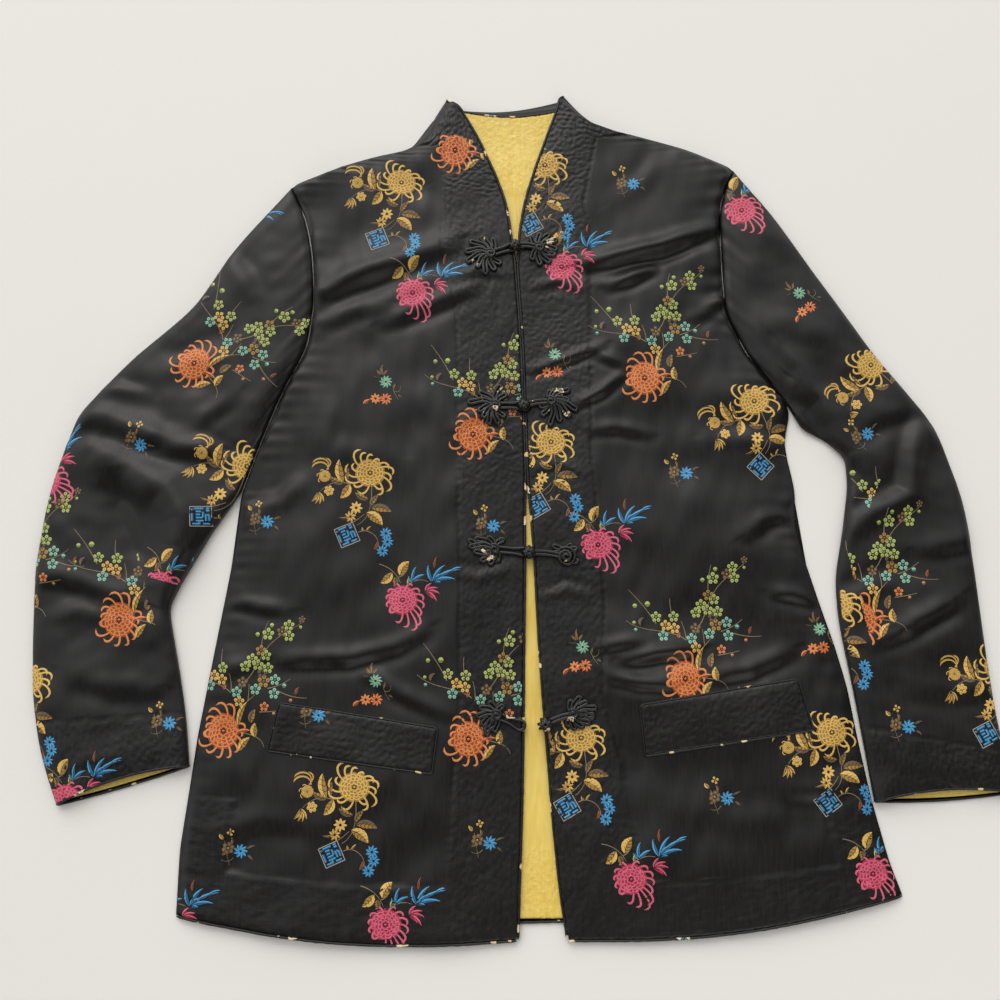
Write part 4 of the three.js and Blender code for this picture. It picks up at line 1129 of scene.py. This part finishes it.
gold_spray = (
    twigs([(2, -10), (3, -24), (1, -38), (-8, -49)], [(-17, -12), (-30, -11), (-44, -20)],
        [(-6, -55), (6, -55), (12, -61), (13, -67)], [(-13, -47), (-6, -42), (-2, -38)])
    + several(leaf, GOLD, (-24, -10, -29, 10, 7.5), (-18, -12, -25, -25, 8),
        (0, -37, 15, -47, 9, 4), (-1, -54, -3, -50, 1.8, 0), (1, -54, 5, -49, 1.8, 0))
    + several(leaf, BROWNS, (-20, -8, -20, 3, 4), (-23, -11, -37, -6, 5.5), (0, -24, -12, -19, 5),
        (3, -30, 9, -20, 5), (4, -32, 22, -34, 7.5, 4), (-16, -42, -25, -43, 2, 0))
    + plum(GOLD, -36, -19, 3.2, 6)
    + dot(GOLD, -36, -19, 3.4, 1.3)
    + daisy(GOLDS, -10, -33, 6, 8)
    + daisy(GOLD, -14.5, -41.5, 5.4, 8, 20)
    + leaf(RUSTS, 12, -62, 9, -70, 2.8, 0)
    + several(daisy, BLUES, (19, -54.5, 5.8), (21, -62, 5.4, 9, 15), (17, -70.5, 5.6, 9, 8))
    + mum(0, 0, 11.5, GOLD_HOOKS, "gold", "ochre", 0.92, 2)
    + mum(-41, -6, 4.6, [(150, 1.5, 40), (200, 1.5, 40), (100, 1.4, 40)], "gold", "ochre", 1.0, 3)
    + [stroke([(-38, 0), (-42, 6), (-50, 6), (-54, 1)], 2.2, "hook", GOLD, 1.0, 9),
       stroke([(-39, 0), (-41, 9), (-48, 10), (-54, 5)], 2.0, "hook", GOLD, 1.0, 9),
       stroke([(-40, 0), (-37, 8), (-42, 11)], 1.8, "hook", GOLD, 1.0, 7)]
    + fan(GOLD, (-46, -21), (-51, -30, 2.6), (-47.5, -32, 2.6), (-43.5, -32, 2.6),
        (-40, -29.5, 2.6))
)
DIAMOND = (-16.0, -58.5)
DIAMOND_REACH = 12.6
DIAMOND_TURN = 72
tips = [polar(*DIAMOND, DIAMOND_REACH, DIAMOND_TURN + 90 * k) for k in range(4)]
for k in range(4):
    gold_spray.append(stroke([tips[k], tips[k - 1]], 0.75, "bar", ("silver",) * 2, 1.0, 3))
DIAMOND_BARS = (  # start and end of each, from the middle, along two sides
    (-1, -1, -0.1, -1), (0.2, -1, 1, -1), (-1, -0.6, -1, 0.4), (-0.6, -0.6, 0.3, -0.6),
    (0.6, -0.6, 0.6, 0.3), (1, -0.6, 1, 0.2), (-0.6, -0.2, 0.2, -0.2), (-0.6, 0.2, -0.1, 0.2),
    (0.25, -0.1, 0.25, 0.6), (-0.6, 0.6, 0.0, 0.6), (-1, 0.8, -1, 1.0), (-0.8, 1, 0.3, 1),
    (0.6, 0.7, 1, 0.7), (0.6, 1, 1, 1), (-0.2, -0.9, -0.2, -0.6), (0.95, 0.2, 0.7, 0.2),
)
BARS_REACH = 0.78
across = (np.array(tips[0]) - tips[1]) / 2 * BARS_REACH
upward = ((np.array(tips[0]) + tips[1]) / 2 - DIAMOND) * BARS_REACH
for a, b, c, d in DIAMOND_BARS:
    bar = [DIAMOND + across * a + upward * b, DIAMOND + across * c + upward * d]
    gold_spray.append(stroke(bar, 1.9, "bar", BLUES, 1.0, 3))
crimson_spray = (
    twigs([(-24, 31), (-12, 26), (-3, 15)], [(-6, 20), (0, 24), (2, 28)],
        [(4, 14), (14, 19), (22, 18)])
    + several(leaf, GOLD, (-12, 24, -21, 14, 7.5), (-4, 22, 3, 35, 9, 4))
    + leaf(BROWNS, -9, 20, -8, 12, 5)
    + leaf(GREENS, 4, 14, 5, 21, 2.4, 0)
    + leaf(BLUES, 40, 27, 51, 33, 2.4, 0)
    + leaf(RUSTS, 27, 30, 28, 41, 2, 0)
    + fan(BLUES, (8, 17), (10, 31, 2.6), (18, 24, 3), (3.5, 22, 2.6), (12, 21, 2))
    + fan(BLUES, (26, 18), (21, 33, 3.2), (36, 34, 3.2), (50, 31, 3), (46, 22, 3.2), (34, 26, 3),
        (33, 18, 2.4))
    + fan(REDS, (20, 9), (25, 17, 3), (31, 13, 3), (33, 8, 3), (31, 1, 3), (27, 3, 3))
    + mum(0, 0, 11.5, CRIMSON_HOOKS, "rose", "crimson", 0.95, 5)
)
plum_spray = (
    twigs([(13, 8), (14, 18), (13, 25), (17, 46)],
        [(17, 46), (25, 61), (32, 75), (42, 86), (61, 100)],
        [(4, 34), (-10, 41), (-24, 44), (-49, 54)], [(-22, 50), (-28, 60), (-45, 82)],
        [(19, 27), (22, 30), (26, 34)], [(20, 28), (20, 36), (19.5, 43)],
        [(4, 36), (3, 44), (1, 51)], [(27, 76), (28, 88), (31, 100)],
        [(-7, 58), (-8, 66), (-8, 72)], [(31, 19), (40, 20), (51, 22)],
        [(47, 38), (57, 35), (72, 34)], [(36, 40), (47, 44), (56, 50)],
        [(12, 2), (22, -1), (30, -3), (38, -11)])
    + several(leaf, GOLD, (13, 6, 19, 27, 5, 4), (29, -3, 28, 9, 6.5), (16, -16, 24, -4, 6))
    + leaf(BROWNS, 24, 9, 27, 21, 6)
    + leaf(ORANGES, 12, -1, 24, 2, 3.6, 0)
    + leaf(TAWNIES, -3, 36, -1, 41, 3, 0)
    + leaf(RUSTS, 62, 36, 64, 43, 2.6, 0)
    + leaf(DARKS, -36, 49, -33, 56, 6, 2)
    + several(plum, GOLD, (12, 27), (-13.5, 48), (-5.5, 45))
    + several(plum, JADES, (9, 35), (25.5, 38.5), (42, 48), (42.5, 36), (-16.5, 39))
    + several(plum, BROWNS, (13.5, 44), (44.5, 91), (61, 103, 2.2))
    + several(plum, OCHRES, (32, 46, 3.8), (27, 73))
    + several(dot, JADES, (51, 43.5, 4), (-41, 45.5, 3.2))
    + several(plum, GREENS, (15, 58), (20, 65), (25.5, 60), (34.5, 58), (32, 69), (32, 88, 3.7),
        (50, 97), (51, 87.5), (-21.5, 56), (-5.5, 55.5))
    + several(dot, GREENS, (34.5, 96, 4), (22.5, 87, 4), (60.5, 96, 3), (-28.5, 68, 5),
        (-40, 67, 4), (-42, 52, 3.2))
    + plum(ORANGES, 35, 24, 2.8)
    + several(dot, AMBERS, (44, 18.5, 3), (58, 31, 3.2))
    + plum(DARKS, 30, 53, 3)
    + mum(0, 0, 12, ORANGE_HOOKS, "apricot", "orange", 1.12, 7)
)
blue_sprig = (
    daisy(BLUES, 0, 0, 6.4)
    + daisy(SKIES, 0, 0, 3.6, 7, 20)
    + plum(GOLD, -9.5, 16, 2.2, 4)
    + leaf(GOLD, -15, 10, -19, 14, 3.4, 0)
    + several(leaf, BROWNS, (-9, 12, -8, 5, 2, 0), (-16, -4, -11, -2, 2, 0),
        (5, 2, 12, 5, 1.6, 0), (6, -3, 11, -7, 1.6, 0))
    + plum(BROWNS, -11, 2, 3.6, 6)
    + twigs([(-14, 8), (-12, -2), (-9, -13)], [(-6, -6), (-10, -9), (-16, -8)], width=0.5)
)
green_sprig = (
    daisy(JADES, 0, 0, 6.2, 10)
    + daisy(LIMES, 0, 0, 4, 8, 12)
    + daisy(ORANGES, 1.5, -16.5, 5.8, 9)
    + daisy(APRICOTS, -8, -17, 5.2, 8, 10)
    + leaf(ORANGES, -18.5, -23.5, -13, -18.5, 3.4, 0)
    + several(leaf, BROWNS, (-4, 6, -4.5, 16, 2.2, 0), (-3, 6, 1, 11, 2, 0),
        (-5, 6, -9, 11, 2, 0), (8, -6, 9, -1, 1.8, 0), (12, -12, 16, -14, 1.6, 0))
    + leaf(DARKS, -5, 5, -13, 5, 1.8, 0)
    + twigs([(7, -4), (9, -10), (13, -16)], width=0.6)
    + twigs([(9, -9), (13, -8), (14, -3)], width=0.5)
)


FLAT, RAISED = (0.08, 0.30, 0.08), (0.40, 0.46, 0.40)  # a float's height, across it


def woven(strokes):
    """A spray's strokes as one set of points, heights, faces and threads."""
    points, lifts, faces, threads = [], [], [], []
    start = 0
    for line, half, pair, lift in strokes:
        way = np.gradient(line, axis=0)
        way /= np.maximum(np.hypot(*way.T), 1e-9)[:, None]
        side = np.stack([-way[:, 1], way[:, 0]], 1) * half[:, None]
        count = len(line)
        points.append(np.stack([line + side, line, line - side], 1).reshape(-1, 2))
        lifts.append(np.tile(RAISED if lift >= 1.4 else FLAT, count) + 0.06 * lift)
        faces.append(grid_faces(count, 3, start))
        pair = [thread_names.index(name) for name in pair]
        threads.append(np.tile(pair, count - 1))
        start += 3 * count
    return [np.concatenate(part) for part in (points, lifts, faces, threads)]


SPRAYS = {
    "gold": woven(gold_spray), "crimson": woven(crimson_spray), "plum": woven(plum_spray),
    "blue": woven(blue_sprig), "green": woven(green_sprig),
}
LAID_SPRAYS = {  # x, y, turn in degrees, and where one is cut by a fold: x, y, way kept
    "right_front": {
        "gold": [(-110, 301, -6), (-135, 20, -4), (-144, -260, -3)],
        "crimson": [(-98, 191, -5), (-104, -96, -4), (-115, -376, -3), (-312, -378, -3)],
        "plum": [(-41, 56, -4), (-44, -219, -3), (-262, -212, -4), (-59, 333, -12, 0, 16, -90)],
        "blue": [(-228, -25, -4), (-22, -29, -4), (-243, -315, -3), (-25, -308, -3)],
        "green": [(-122, 106, -4), (-127, -168, -3)],
    },
    "left_front": {
        "gold": [(27, 318, 2), (31, 49, 3), (56, -218, 3), (219, 87, 20), (278, -213, 10)],
        "crimson": [(42, 217, 3), (73, -46, 3), (98, -338, 3), (309, -334, 3)],
        "plum": [(118, 109, 3), (149, -166, 3)],
        "blue": [(111, 299, 3), (155, 20, 3), (184, -270, 3)],
        "green": [(35, 132, 3), (58, -138, 3), (272, -122, 3)],
    },
    "right_sleeve": {
        "plum": [(-299, 122, -41), (-357, -114, 0, 24, 24, 198), (-462, -100, 0)],
        "crimson": [(-281, 268, -32), (-322, -84, -15, 0, 5, 90), (-430, 12, 28),
            (-397, -271, 4)],
        "gold": [(-248, 26, -24), (-436, -168, 3)],
        "blue": [(-345, 45, -30), (-309, -205, 0)],
    },
    "left_sleeve": {
        "crimson": [(213, 272, 8)],
        "green": [(264, 190, 30)],
        "gold": [(328, 121, 40, 0, -27, 90), (288, -101, 2, 3, 0, 0), (430, -156, 0)],
        "blue": [(322, 56, 25), (345, -208, 0)],
        "plum": [(340, -46, 4, -12, 45, 150), (308, -114, 2, 3, 0, 10)],
    },
    "right_welt": {
        "blue": [(-177, -198, -8)],
    },
}


def lay_sprays(name, tree, laid):
    """One mesh of every spray on a panel, each point on the cloth; what is off it is left out."""
    points, faces, threads, start = [], [], [], 0
    for kind, (x, y, turn, *cut) in ((kind, place) for kind in laid for place in laid[kind]):
        plan, lift, quads, picks = SPRAYS[kind]
        if cut:
            way = (math.cos(math.radians(cut[2])), math.sin(math.radians(cut[2])))
            kept = ((plan - cut[:2]) @ way) > 0
            whole = kept[quads].all(1)
            quads, picks = quads[whole], picks[whole]
        turn = math.radians(turn)
        spin = np.array([[math.cos(turn), math.sin(turn)], [-math.sin(turn), math.cos(turn)]])
        plan = plan @ spin + (x, y)
        z = heights(tree, plan[:, 0], plan[:, 1])
        on = ~np.isnan(z)
        whole = on[quads].all(1)
        points.append(np.column_stack([plan, np.where(on, z + lift, 0)]))
        faces.append(quads[whole] + start)
        threads.append(picks[whole])
        start += len(plan)
    points, faces, threads = (np.concatenate(part) for part in (points, faces, threads))
    used, again = np.unique(faces, return_inverse=True)
    points, faces = points[used], again.reshape(faces.shape)
    shown = sorted(set(threads.tolist()))
    looks = [thread_looks[index] for index in shown]
    piece(name, points, faces[:, ::-1], looks, pick=np.searchsorted(shown, threads))


for name, laid in LAID_SPRAYS.items():
    lay_sprays(f"woven_{name}", trees[name], laid)
